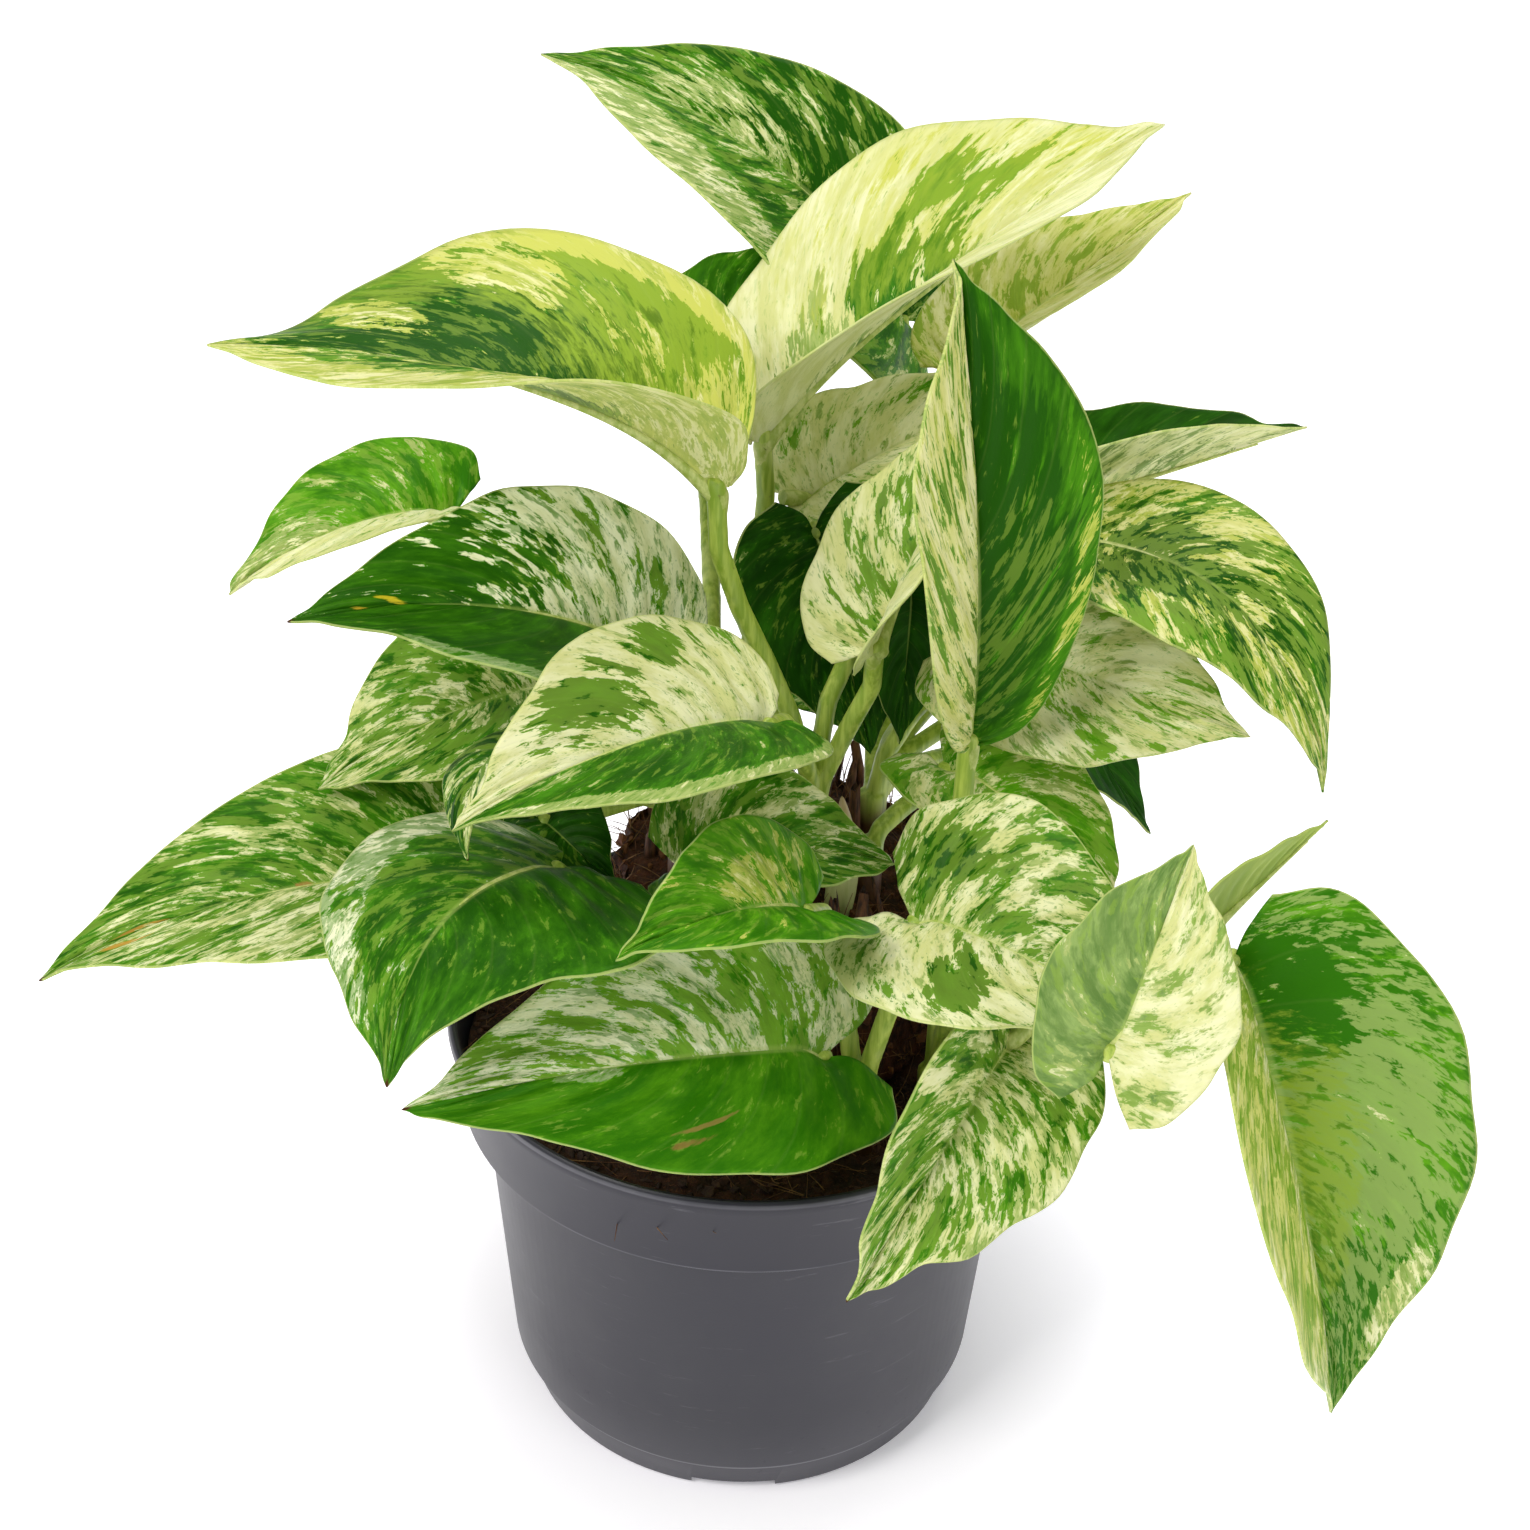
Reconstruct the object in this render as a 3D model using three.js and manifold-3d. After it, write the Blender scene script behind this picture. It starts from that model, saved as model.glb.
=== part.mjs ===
// Potted pothos with marbled leaves: a plastic nursery pot, its soil, the coir plug that
// the cuttings were rooted in, nine rooted cuttings with their leaf stalks, and every leaf blade.
// Millimetres, +Z up, origin at the middle of the pot's underside. The plant's front looks along -Y.
import * as THREE from "three";
import { mergeVertices } from "three/addons/utils/BufferGeometryUtils.js";
import Module from "manifold-3d";

const wasm = await Module();
wasm.setup();

// Driving dimensions of the pot
const POT_TOP_RADIUS = 60;
const POT_HEIGHT = 90;
const WALL = 1.3;
const COLLAR_HEIGHT = 19; // the wide band under the rim
const COLLAR_STEP = 4.4; // how far the band stands out from the body
const BODY_TAPER = 4.6; // loss of radius from the band down to the foot
const FOOT_HEIGHT = 8.5;
const FOOT_RADIUS = 45.5;
const FOOT_WIDTH = 5;
const FLOOR_LIFT = 2.6; // the drained ring of the floor stands this far off the table
const PAD_RADIUS = 14; // the middle of the floor touches the table again
const NOTCH = { count: 4, width: 17, height: 2.2 };
const DRAIN = { count: 8, radius: 3.5, ring: 27 };
const POT_SEGMENTS = 40;

// Driving dimensions of what fills it
const GAP = 0.3; // between pieces that touch
const SOIL_LEVEL = 80;
const PLUG = { x: 5, y: 16, bottomRadius: 38, topRadius: 34, top: 117, segments: 24 };

// Driving dimensions of the plant
const BLADE_THICKNESS = 0.6;
const STALK_RADIUS = 1.6;
const STALK_SIDES = 6;
const STUB_RADIUS = 2.7;
const STUB_DEPTH = 12; // below the plug's or the soil's surface
const STUB_HEIGHT = 9; // above it
const KNUCKLE_GAP = 1.9; // from the end of a stalk to the middle of the blade
const SHOOT = { x: 16, y: -3, radius: 3.3, depth: 8, height: 24 }; // a new leaf still rolled up

const deg = THREE.MathUtils.degToRad;
const lerp = THREE.MathUtils.lerp;
const vec = (p) => new THREE.Vector3(...p);

// ---------- solids ----------

function toSolid(geometry) {
  const bare = geometry.index ? geometry.toNonIndexed() : geometry.clone();
  bare.deleteAttribute("normal");
  bare.deleteAttribute("uv");
  const merged = mergeVertices(bare, 1e-3);
  return new wasm.Manifold(
    new wasm.Mesh({
      numProp: 3,
      vertProperties: merged.attributes.position.array,
      triVerts: new Uint32Array(merged.index.array),
    }),
  );
}

function toGeometry(solid) {
  const mesh = solid.getMesh();
  const geometry = new THREE.BufferGeometry();
  geometry.setAttribute("position", new THREE.BufferAttribute(mesh.vertProperties, 3));
  geometry.setIndex(new THREE.BufferAttribute(mesh.triVerts, 1));
  geometry.computeVertexNormals();
  return geometry;
}

// A closed profile of [radius, height] points turned about +Z.
function lathe(profile, segments) {
  const points = profile.map(([r, z]) => new THREE.Vector2(r, z));
  return new THREE.LatheGeometry(points, segments).rotateX(Math.PI / 2);
}

// An upright cylinder standing on z = bottom.
function post(radius, x, y, bottom, top, sides) {
  return new THREE.CylinderGeometry(radius, radius, top - bottom, sides)
    .rotateX(Math.PI / 2)
    .translate(x, y, (top + bottom) / 2);
}

const material = (color, roughness) =>
  new THREE.MeshStandardMaterial({ color, roughness, metalness: 0 });
const MATERIALS = {
  pot: material(0x4a4950, 0.55),
  soil: material(0x2a1a10, 1),
  plug: material(0x3f2415, 1),
  stalk: material(0x9cb04a, 0.5),
  greenLeaf: material(0x3f7d1c, 0.4),
  marbledLeaf: material(0xa9c06a, 0.4),
  paleLeaf: material(0xdfe3a6, 0.4),
};

function addPart(group, name, geometry, look, position) {
  const mesh = new THREE.Mesh(geometry, look);
  mesh.name = name;
  if (position) mesh.position.copy(position);
  group.add(mesh);
  return mesh;
}

// ---------- pot ----------

const collarBottom = POT_HEIGHT - COLLAR_HEIGHT;
const collarRadius = POT_TOP_RADIUS - 2.2; // at the band's lower edge
const bodyTopRadius = collarRadius - COLLAR_STEP;
const bodyBottomRadius = bodyTopRadius - BODY_TAPER;

function potGeometry() {
  const outside = [
    [0, 0],
    [PAD_RADIUS, 0],
    [PAD_RADIUS + 2, FLOOR_LIFT],
    [FOOT_RADIUS - FOOT_WIDTH - 1, FLOOR_LIFT],
    [FOOT_RADIUS - FOOT_WIDTH, 0],
    [FOOT_RADIUS, 0],
    [FOOT_RADIUS + 1.6, FOOT_HEIGHT - 0.6],
    [bodyBottomRadius, FOOT_HEIGHT + 0.6],
    [bodyTopRadius, collarBottom - 0.4],
    [collarRadius, collarBottom],
    [POT_TOP_RADIUS, POT_HEIGHT - 1],
    [POT_TOP_RADIUS - 0.3, POT_HEIGHT],
  ];
  const inside = [
    [POT_TOP_RADIUS - WALL - 0.5, POT_HEIGHT],
    [collarRadius - WALL, collarBottom + WALL],
    [bodyTopRadius - WALL, collarBottom + 0.6],
    [bodyBottomRadius - WALL - 0.4, FOOT_HEIGHT + WALL],
    [FOOT_RADIUS - WALL - 1, FLOOR_LIFT + WALL],
    [PAD_RADIUS + 1, FLOOR_LIFT + WALL],
    [PAD_RADIUS - 1, WALL],
    [0, WALL],
  ];
  let pot = toSolid(lathe([...outside, ...inside], POT_SEGMENTS));
  for (let i = 0; i < NOTCH.count; i++) {
    const notch = new THREE.BoxGeometry(NOTCH.width, FOOT_WIDTH * 3, NOTCH.height * 2)
      .translate(0, -FOOT_RADIUS, 0)
      .rotateZ((i * 2 * Math.PI) / NOTCH.count);
    pot = pot.subtract(toSolid(notch));
  }
  for (let i = 0; i < DRAIN.count; i++) {
    const angle = ((i + 0.5) * 2 * Math.PI) / DRAIN.count;
    const [x, y] = [DRAIN.ring * Math.cos(angle), DRAIN.ring * Math.sin(angle)];
    pot = pot.subtract(toSolid(post(DRAIN.radius, x, y, -1, FLOOR_LIFT + 3, 12)));
  }
  return toGeometry(pot);
}

// ---------- soil, coir plug and cuttings ----------

// Each cutting stands upright at x, y on the surface at z.
const CUTTINGS = {
  cutting_back: { x: 2, y: 27, z: PLUG.top },
  cutting_centre: { x: 11, y: 12, z: PLUG.top },
  cutting_right: { x: 22, y: 4, z: PLUG.top },
  cutting_right_back: { x: 23, y: 22, z: PLUG.top },
  cutting_left_back: { x: -9, y: 20, z: PLUG.top },
  cutting_left: { x: -14, y: 6, z: PLUG.top },
  cutting_front_left: { x: -16, y: -32, z: SOIL_LEVEL },
  cutting_front: { x: 22, y: -30, z: SOIL_LEVEL },
  cutting_front_right: { x: 36, y: -18, z: SOIL_LEVEL },
};

function plantingHole({ x, y, z }) {
  return toSolid(
    post(STUB_RADIUS + GAP, x, y, z - STUB_DEPTH - GAP, z + STUB_HEIGHT, STALK_SIDES + 1),
  );
}

function soilGeometry() {
  const clear = WALL + GAP + 0.4;
  let soil = toSolid(
    lathe(
      [
        [0, FLOOR_LIFT + WALL + GAP],
        [FOOT_RADIUS - clear - 1.6, FLOOR_LIFT + WALL + GAP],
        [bodyBottomRadius - clear - 0.4, FOOT_HEIGHT + WALL],
        [bodyTopRadius - clear, collarBottom],
        [bodyTopRadius - clear, collarBottom + WALL + 1],
        [collarRadius - clear, collarBottom + WALL + 1.4],
        [collarRadius - clear + 0.6, SOIL_LEVEL - 1.2],
        [collarRadius - clear - 3, SOIL_LEVEL],
        [0, SOIL_LEVEL],
      ],
      32,
    ),
  );
  for (const cutting of Object.values(CUTTINGS))
    if (cutting.z === SOIL_LEVEL) soil = soil.subtract(plantingHole(cutting));
  return toGeometry(soil);
}

function plugGeometry() {
  const { x, y, bottomRadius, topRadius, top, segments } = PLUG;
  const bottom = SOIL_LEVEL + GAP;
  let plug = toSolid(
    lathe(
      [
        [0, bottom],
        [bottomRadius, bottom],
        [bottomRadius - 1, lerp(bottom, top, 0.4)],
        [topRadius, top - 3],
        [topRadius - 3, top],
        [0, top],
      ],
      segments,
    ).translate(x, y, 0),
  );
  for (const cutting of Object.values(CUTTINGS))
    if (cutting.z === PLUG.top) plug = plug.subtract(plantingHole(cutting));
  const hole = post(SHOOT.radius + GAP, SHOOT.x, SHOOT.y, top - SHOOT.depth - GAP, top + 9, 8);
  return toGeometry(plug.subtract(toSolid(hole))).translate(-x, -y, 0);
}

function shootGeometry() {
  const { radius, depth, height } = SHOOT;
  const profile = [
    [0, -depth],
    [radius * 0.8, -depth],
    [radius * 0.9, height * 0.4],
    [radius * 0.55, height * 0.75],
    [0, height],
  ];
  return lathe(profile, 8);
}

// ---------- leaves ----------

// A blade is laid out flat first, along its side veins: each row leaves the midrib at `rib` and
// meets the margin at [along, across], as shares of the blade's length and of its half width.
const VEINS = [
  { rib: 0, margin: [-0.17, 0.36] },
  { rib: 0.04, margin: [-0.12, 0.72] },
  { rib: 0.1, margin: [0.06, 0.95] },
  { rib: 0.19, margin: [0.27, 1] },
  { rib: 0.31, margin: [0.48, 0.86] },
  { rib: 0.46, margin: [0.68, 0.57] },
  { rib: 0.63, margin: [0.83, 0.28] },
  { rib: 0.8, margin: [0.93, 0.1] },
];
const VEIN_CURVE = 1.35; // side veins leave the midrib steeply and swing towards the tip
const HALF_COLUMNS = 3;

// base and tip are the ends of the midrib; face is the way the upper side looks; fold and curl are
// [left, right] in degrees: how far each half is raised at the midrib, and how much it bends back
// on its way to the margin. arch bows the midrib upwards and sweep to the right, as shares of its
// length; twist turns the tip, in degrees; lobe scales the lobes behind the stalk.
// lift and reach shape the stalk: how straight it leaves its cutting and arrives at the blade.
const LEAVES = [
  // the tall leaves on the plug
  { name: "top", from: "cutting_right_back", look: "greenLeaf",
    base: [27, 92, 200], tip: [-49, 104, 247], face: [0, -0.3, 1], width: 52, share: [1.3, 1],
    fold: [10, 24], arch: 0.13, leave: [0, 1, 0.8], arrive: [0, 0, 1], lift: 0.5 },
  { name: "crown", from: "cutting_back", look: "paleLeaf",
    base: [-2, 38, 197], tip: [71, 58, 251], face: [0, -0.45, 1], width: 66, share: [1.12, 0.62],
    fold: [8, 85], belly: 0.08, arch: 0.04, relax: 0.8, lobe: 0.2, leave: [-0.4, 0.3, 1] },
  { name: "far_right", from: "cutting_right_back", look: "paleLeaf",
    base: [37, 68, 198], tip: [83, 92, 227], face: [0, -0.3, 1], width: 38, fold: [15, 50],
    relax: 0.5, leave: [0.2, 1, 0.8], arrive: [0, 0, 1], lift: 0.5, lobe: 0.6 },
  { name: "far_left", from: "cutting_left_back", look: "marbledLeaf",
    base: [-16, 60, 201], tip: [6, 82, 218], face: [-0.3, -0.4, 1], width: 28, fold: [15, 20],
    arch: 0.06 },
  { name: "wide_left", from: "cutting_centre", look: "marbledLeaf",
    base: [-8, 1, 205], tip: [-93, -9, 229], face: [0, 0, 1], width: 60, share: [1, 1.5],
    fold: [58, 50], arch: 0.08, relax: 1.3, lobe: 0.1, belly: 0.08 },
  { name: "tall", from: "cutting_front_right", look: "greenLeaf",
    base: [39, -15, 162], tip: [30, 0, 245], face: [0.5, -0.8, 0.3], width: 50, fold: [33, 31],
    arch: 0.04, lobe: 0.1, belly: 0.12, leave: [0, 0, 1], arrive: [0, 0, 1] },
  { name: "right_dark", from: "cutting_right_back", look: "greenLeaf",
    base: [47, 42, 178], tip: [101, 37, 201], face: [0, 0, 1], width: 38, fold: [35, 50] },
  { name: "right_drooping", from: "cutting_right_back", look: "marbledLeaf",
    base: [57, 18, 186], tip: [103, -12, 151], face: [0.5, -0.2, 0.8], width: 46, fold: [15, -5],
    arch: 0.22, arrive: [0, -1, 0.8] },
  { name: "right_middle", from: "cutting_right_back", look: "paleLeaf",
    base: [41, 12, 166], tip: [90, -5, 158], face: [0.2, -0.8, 0.7], width: 42, fold: [15, 15],
    arch: 0.06, leave: [0, 0, 1], lift: 0.4, arrive: [0.3, -0.6, 0.8] },
  { name: "right_pointed", from: "cutting_right_back", look: "greenLeaf",
    base: [56, 32, 149], tip: [80, 27, 115], face: [0.6, -0.5, 0.5], width: 22, fold: [15, 15] },
  { name: "centre_right", from: "cutting_right", look: "marbledLeaf",
    base: [37, 12, 140], tip: [69, -16, 120], face: [0.3, -0.5, 0.8], width: 35, fold: [15, 15],
    arch: 0.12 },
  { name: "back_pale", from: "cutting_back", look: "paleLeaf",
    base: [8, 47, 179], tip: [49, 51, 204], face: [-0.2, -0.5, 0.8], width: 32, fold: [20, 30] },
  { name: "centre_pale", from: "cutting_centre", look: "paleLeaf",
    base: [20, 0, 173], tip: [42, 22, 214], face: [-0.5, -0.6, 0.6], width: 36, fold: [15, 60],
    relax: 0.7 },
  { name: "centre_dark", from: "cutting_back", look: "greenLeaf",
    base: [10, 29, 180], tip: [22, 20, 136], face: [0.1, -0.9, 0.5], width: 40, fold: [12, 15],
    leave: [0, 0.5, 1] },
  { name: "centre_dark_low", from: "cutting_centre", look: "greenLeaf",
    base: [28, 18, 175], tip: [27, 11, 144], face: [0.1, -0.9, 0.3], width: 18, fold: [15, 15],
    lift: 0.6, arrive: [0.8, 0.3, 0.6] },
  { name: "far_left_small", from: "cutting_left_back", look: "greenLeaf",
    base: [-63, 45, 174], tip: [-104, 30, 161], face: [0, 0, 1], width: 34, fold: [20, 40],
    arch: 0.1, relax: 0.5 },
  { name: "left_middle", from: "cutting_left", look: "greenLeaf",
    base: [-18, 0, 168], tip: [-80, -25, 186], face: [0, -0.5, 1], width: 50, fold: [18, 20],
    arch: 0.14 },
  { name: "left_behind", from: "cutting_left", look: "marbledLeaf",
    base: [-35, 3, 160], tip: [-79, -17, 147], face: [-0.3, -0.6, 1], width: 44, fold: [15, 15],
    arch: 0.12 },
  { name: "left_narrow", from: "cutting_left", look: "marbledLeaf",
    base: [-41, -36, 171], tip: [-46, -58, 161], face: [-0.8, -0.5, 0.4], width: 16,
    fold: [10, 20], arch: 0.15, arrive: [-0.3, -1, 0.2], lift: 0.5, leave: [0.3, -0.5, 1] },
  { name: "front_pale", from: "cutting_centre", look: "paleLeaf",
    base: [2, -20, 167], tip: [-48, -60, 168], face: [0, -0.35, 1], width: 48, fold: [20, 22],
    arch: 0.1, lobe: 0.5, arrive: [-0.2, -1, 0.3] },
  { name: "left_low", from: "cutting_front_left", look: "marbledLeaf",
    base: [-40, -20, 131], tip: [-127, -40, 119], face: [0, -0.2, 1], width: 54, fold: [15, 20],
    arch: 0.12, lobe: 0.8 },
  { name: "low_dark", from: "cutting_front_left", look: "greenLeaf",
    base: [-33, -46, 153], tip: [-55, -92, 141], face: [-0.2, -0.7, 0.6], width: 54,
    share: [1.18, 1], fold: [8, -14], arch: 0.15, sweep: 0.12, arrive: [-0.1, -0.7, 0.7],
    reach: 0.15 },
  { name: "front_small", from: "cutting_front", look: "greenLeaf",
    base: [10, -46, 146], tip: [-20, -81, 159], face: [0, -0.3, 1], width: 32, fold: [15, 30],
    arch: 0.08, arrive: [-0.3, -0.9, 0.3], leave: [-0.2, 0.3, 1], lift: 0.5 },
  { name: "centre_low", from: "cutting_centre", look: "greenLeaf",
    base: [-12, -20, 136], tip: [26, -18, 136], face: [0, -0.3, 1], width: 36, fold: [20, 20],
    arch: 0.1 },
  { name: "front_green", from: "cutting_front", look: "greenLeaf",
    base: [14, -52, 120], tip: [-55, -82, 128], face: [0, -0.5, 1], width: 52, share: [0.85, 1],
    fold: [-5, 20], arch: 0.06 },
  { name: "front_right_pale", from: "cutting_front", look: "paleLeaf",
    base: [29, -40, 141], tip: [68, -64, 136], face: [0, -0.5, 1], width: 50, fold: [20, 20],
    arch: 0.08, lobe: 1.2 },
  { name: "front_hanging", from: "cutting_front_right", look: "paleLeaf",
    base: [46, -51, 122], tip: [19, -82, 89], face: [-0.1, -0.8, 0.5], width: 42, fold: [5, 60],
    arch: 0.1 },
  { name: "right_twisted", from: "cutting_front_right", look: "paleLeaf",
    base: [60, -76, 140], tip: [72, -56, 168], face: [0, -0.8, 0.4], width: 34, fold: [15, 15],
    lobe: 1.6, arrive: [0.2, -1, 0.5] },
  { name: "right_bud", from: "cutting_front_right", look: "greenLeaf",
    base: [80, -30, 130], tip: [104, -15, 147], face: [-0.3, 0.6, 0.6], width: 18,
    fold: [30, 30] },
  { name: "right_large", from: "cutting_front_right", look: "greenLeaf",
    base: [85, -45, 137], tip: [109, -70, 54], face: [0.2, -0.85, 0.4], width: 72,
    fold: [12, 58], arch: 0.08, lobe: 0.6 },
  { name: "under_front", from: "cutting_left", look: "greenLeaf",
    base: [-39, -17, 143], tip: [-24, -31, 138], face: [0, -0.3, 1], width: 18, fold: [20, 20],
    leave: [0, -0.1, 1], lift: 0.6, arrive: [-1, -0.2, 0.1] },
  { name: "under_centre", from: "cutting_centre", look: "greenLeaf",
    base: [6, 5, 136], tip: [-9, 4, 128], face: [0, -0.5, 1], width: 12, fold: [20, 20],
    arrive: [1, 0, 0.3] },
  // the leaves round the back
  { name: "back_low_left", from: "cutting_left_back", look: "marbledLeaf",
    base: [-30, 50, 124], tip: [-62, 86, 100], face: [-0.3, 0.3, 1], width: 40, fold: [18, 18],
    arch: 0.1 },
  { name: "back_low_middle", from: "cutting_back", look: "greenLeaf",
    base: [2, 58, 126], tip: [-8, 110, 106], face: [0, 0.3, 1], width: 44, fold: [20, 20],
    arch: 0.1 },
  { name: "back_low_right", from: "cutting_right_back", look: "marbledLeaf",
    base: [50, 50, 128], tip: [80, 88, 102], face: [0.3, 0.3, 1], width: 40, fold: [18, 18],
    arch: 0.1 },
  { name: "back_high_left", from: "cutting_left_back", look: "greenLeaf",
    base: [-34, 50, 142], tip: [-62, 88, 128], face: [-0.2, 0.3, 1], width: 36, fold: [20, 20],
    arch: 0.1 },
  { name: "back_high_right", from: "cutting_right_back", look: "paleLeaf",
    base: [56, 58, 158], tip: [76, 102, 148], face: [0.2, 0.3, 1], width: 38, fold: [20, 20],
    arch: 0.1 },
];

// The turn that lays a blade's own +Y along its midrib and its own +Z out of its upper side.
function bladeTurn(leaf) {
  const axis = vec(leaf.tip).sub(vec(leaf.base)).normalize();
  const normal = vec(leaf.face).addScaledVector(axis, -vec(leaf.face).dot(axis)).normalize();
  const side = axis.clone().cross(normal);
  return new THREE.Quaternion().setFromRotationMatrix(
    new THREE.Matrix4().makeBasis(side, axis, normal),
  );
}

// Bends a point of the flat blade, in shares of its length and half width, within the blade's
// own frame: the stalk's end at the origin, the tip on +Y and the upper side facing +Z.
function bendBlade(leaf, along, across) {
  const length = vec(leaf.tip).distanceTo(vec(leaf.base));
  const bow = new THREE.Vector3(leaf.sweep ?? 0, 0, leaf.arch ?? 0).multiplyScalar(2 * length);
  const t = Math.max(along, 0);
  const tangent = new THREE.Vector3(0, length, 0).addScaledVector(bow, 2 * (1 - 2 * t));
  tangent.normalize();
  const spot = new THREE.Vector3(0, length * t, 0)
    .addScaledVector(bow, 2 * t * (1 - t))
    .addScaledVector(tangent, Math.min(along, 0) * length * (leaf.lobe ?? 1));

  const turned = new THREE.Quaternion()
    .setFromAxisAngle(tangent, deg((leaf.twist ?? 0) * along))
    .multiply(new THREE.Quaternion().setFromUnitVectors(new THREE.Vector3(0, 1, 0), tangent));
  const side = new THREE.Vector3(1, 0, 0).applyQuaternion(turned);
  const normal = new THREE.Vector3(0, 0, 1).applyQuaternion(turned);

  const half = across < 0 ? 0 : 1;
  const wide = Math.abs(across);
  const reach = (leaf.width / 2) * (leaf.share?.[half] ?? 1);
  const ease = 1 - (leaf.relax ?? 0) * t;
  const fold = deg(leaf.fold[half]) * ease;
  const curl = deg(leaf.curl?.[half] ?? 0) * ease || 1e-6;
  const out = (reach / curl) * (Math.sin(fold) - Math.sin(fold - curl * wide));
  const rise = (reach / curl) * (Math.cos(fold - curl * wide) - Math.cos(fold));
  return spot.addScaledVector(side, out * Math.sign(across)).addScaledVector(normal, rise);
}

// The blade's middle surface: one row of points for each vein, left margin to right.
function bladeRows(leaf) {
  return VEINS.map(({ rib, margin }, row) => {
    const points = [];
    const [along, across] = margin;
    const shift = (leaf.belly ?? 0) * Math.sin(Math.PI * Math.max(along, 0));
    const narrow = 1 - Math.max(0, 1 - (leaf.lobe ?? 1)) * Math.max(0, 0.8 - 0.2 * row);
    for (let column = -HALF_COLUMNS; column <= HALF_COLUMNS; column++) {
      const f = Math.abs(column) / HALF_COLUMNS;
      const bend = row === 0 ? 0.8 : VEIN_CURVE;
      const spread = row === 0 ? Math.pow(f, 1.3) : f;
      const t = rib + (along + shift - rib) * Math.pow(f, bend);
      points.push(bendBlade(leaf, t, Math.sign(column) * across * narrow * spread));
    }
    return points;
  });
}

// Closes two skins, half a thickness either side of the rows, round their edge and at the tip.
// Both skins split their quads along the same diagonal, so that a twisted blade stays one thickness.
function bladeGeometry(leaf) {
  const rows = bladeRows(leaf);
  const tip = bendBlade(leaf, 1, 0);
  const columns = rows[0].length;
  const positions = [];
  const sheet = (i, j) => (i < rows.length ? rows[i][j] : tip);
  const index = (i, j, under) =>
    i < rows.length ? 2 * (i * columns + j) + under : 2 * rows.length * columns;
  for (let i = 0; i < rows.length; i++)
    for (let j = 0; j < columns; j++) {
      const across = sheet(i, Math.min(j + 1, columns - 1)).clone().sub(sheet(i, Math.max(j - 1, 0)));
      const along = sheet(i + 1, j).clone().sub(sheet(Math.max(i - 1, 0), j));
      const half = across.cross(along).normalize().multiplyScalar(BLADE_THICKNESS / 2);
      positions.push(...sheet(i, j).clone().add(half), ...sheet(i, j).clone().sub(half));
    }
  positions.push(...tip);

  const triangles = [];
  const quad = (a, b, c, d) => {
    if (a !== b && b !== c && c !== a) triangles.push(a, b, c);
    if (a !== c && c !== d && d !== a) triangles.push(a, c, d);
  };
  const last = columns - 1;
  for (let i = 0; i < rows.length; i++) {
    for (let j = 0; j < last; j++) {
      quad(index(i, j, 0), index(i, j + 1, 0), index(i + 1, j + 1, 0), index(i + 1, j, 0));
      quad(index(i, j, 1), index(i + 1, j, 1), index(i + 1, j + 1, 1), index(i, j + 1, 1));
    }
    quad(index(i, 0, 1), index(i, 0, 0), index(i + 1, 0, 0), index(i + 1, 0, 1));
    quad(index(i, last, 0), index(i, last, 1), index(i + 1, last, 1), index(i + 1, last, 0));
  }
  for (let j = 0; j < last; j++)
    quad(index(0, j, 1), index(0, j + 1, 1), index(0, j + 1, 0), index(0, j, 0));

  const geometry = new THREE.BufferGeometry();
  geometry.setAttribute("position", new THREE.Float32BufferAttribute(positions, 3));
  geometry.setIndex(triangles);
  geometry.computeVertexNormals();
  return geometry;
}

// ---------- stalks ----------

// The way a leaf's stalk runs, from inside its cutting to just under the blade.
function stalkPath(leaf) {
  const { x, y, z } = CUTTINGS[leaf.from];
  const start = new THREE.Vector3(x, y, z + STUB_HEIGHT - 3);
  const face = new THREE.Vector3(0, 0, 1).applyQuaternion(bladeTurn(leaf));
  const end = vec(leaf.base).addScaledVector(face, -KNUCKLE_GAP);
  const span = start.distanceTo(end);
  const leave = vec(leaf.leave ?? [0, 0, 1]).normalize();
  const arrive = (leaf.arrive ? vec(leaf.arrive) : face.clone().add(vec([0, 0, 1]))).normalize();
  return new THREE.CubicBezierCurve3(
    start,
    start.clone().addScaledVector(leave, span * (leaf.lift ?? 0.4)),
    end.clone().addScaledVector(arrive, -span * (leaf.reach ?? 0.3)),
    end,
  );
}

function cuttingGeometry(name) {
  const { x, y, z } = CUTTINGS[name];
  let cutting = toSolid(post(STUB_RADIUS, x, y, z - STUB_DEPTH, z + STUB_HEIGHT, STALK_SIDES + 1));
  const section = new THREE.Shape();
  section.absarc(0, 0, STALK_RADIUS, 0, 2 * Math.PI);
  for (const leaf of LEAVES.filter((each) => each.from === name)) {
    const path = stalkPath(leaf);
    const stalk = new THREE.ExtrudeGeometry(section, {
      extrudePath: path,
      steps: Math.max(4, Math.round(path.getLength() / 14)),
      curveSegments: STALK_SIDES / 2,
    });
    cutting = cutting.add(toSolid(stalk));
  }
  return toGeometry(cutting).translate(-x, -y, -z);
}

// ---------- the object ----------

const pot = new THREE.Group();
addPart(pot, "nursery_pot", potGeometry(), MATERIALS.pot);
addPart(pot, "potting_soil", soilGeometry(), MATERIALS.soil);
addPart(pot, "coir_plug", plugGeometry(), MATERIALS.plug, vec([PLUG.x, PLUG.y, 0]));

const plant = new THREE.Group();
addPart(plant, "new_shoot", shootGeometry(), MATERIALS.stalk, vec([SHOOT.x, SHOOT.y, PLUG.top]));
for (const [name, { x, y, z }] of Object.entries(CUTTINGS))
  addPart(plant, name, cuttingGeometry(name), MATERIALS.stalk, vec([x, y, z]));

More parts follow.
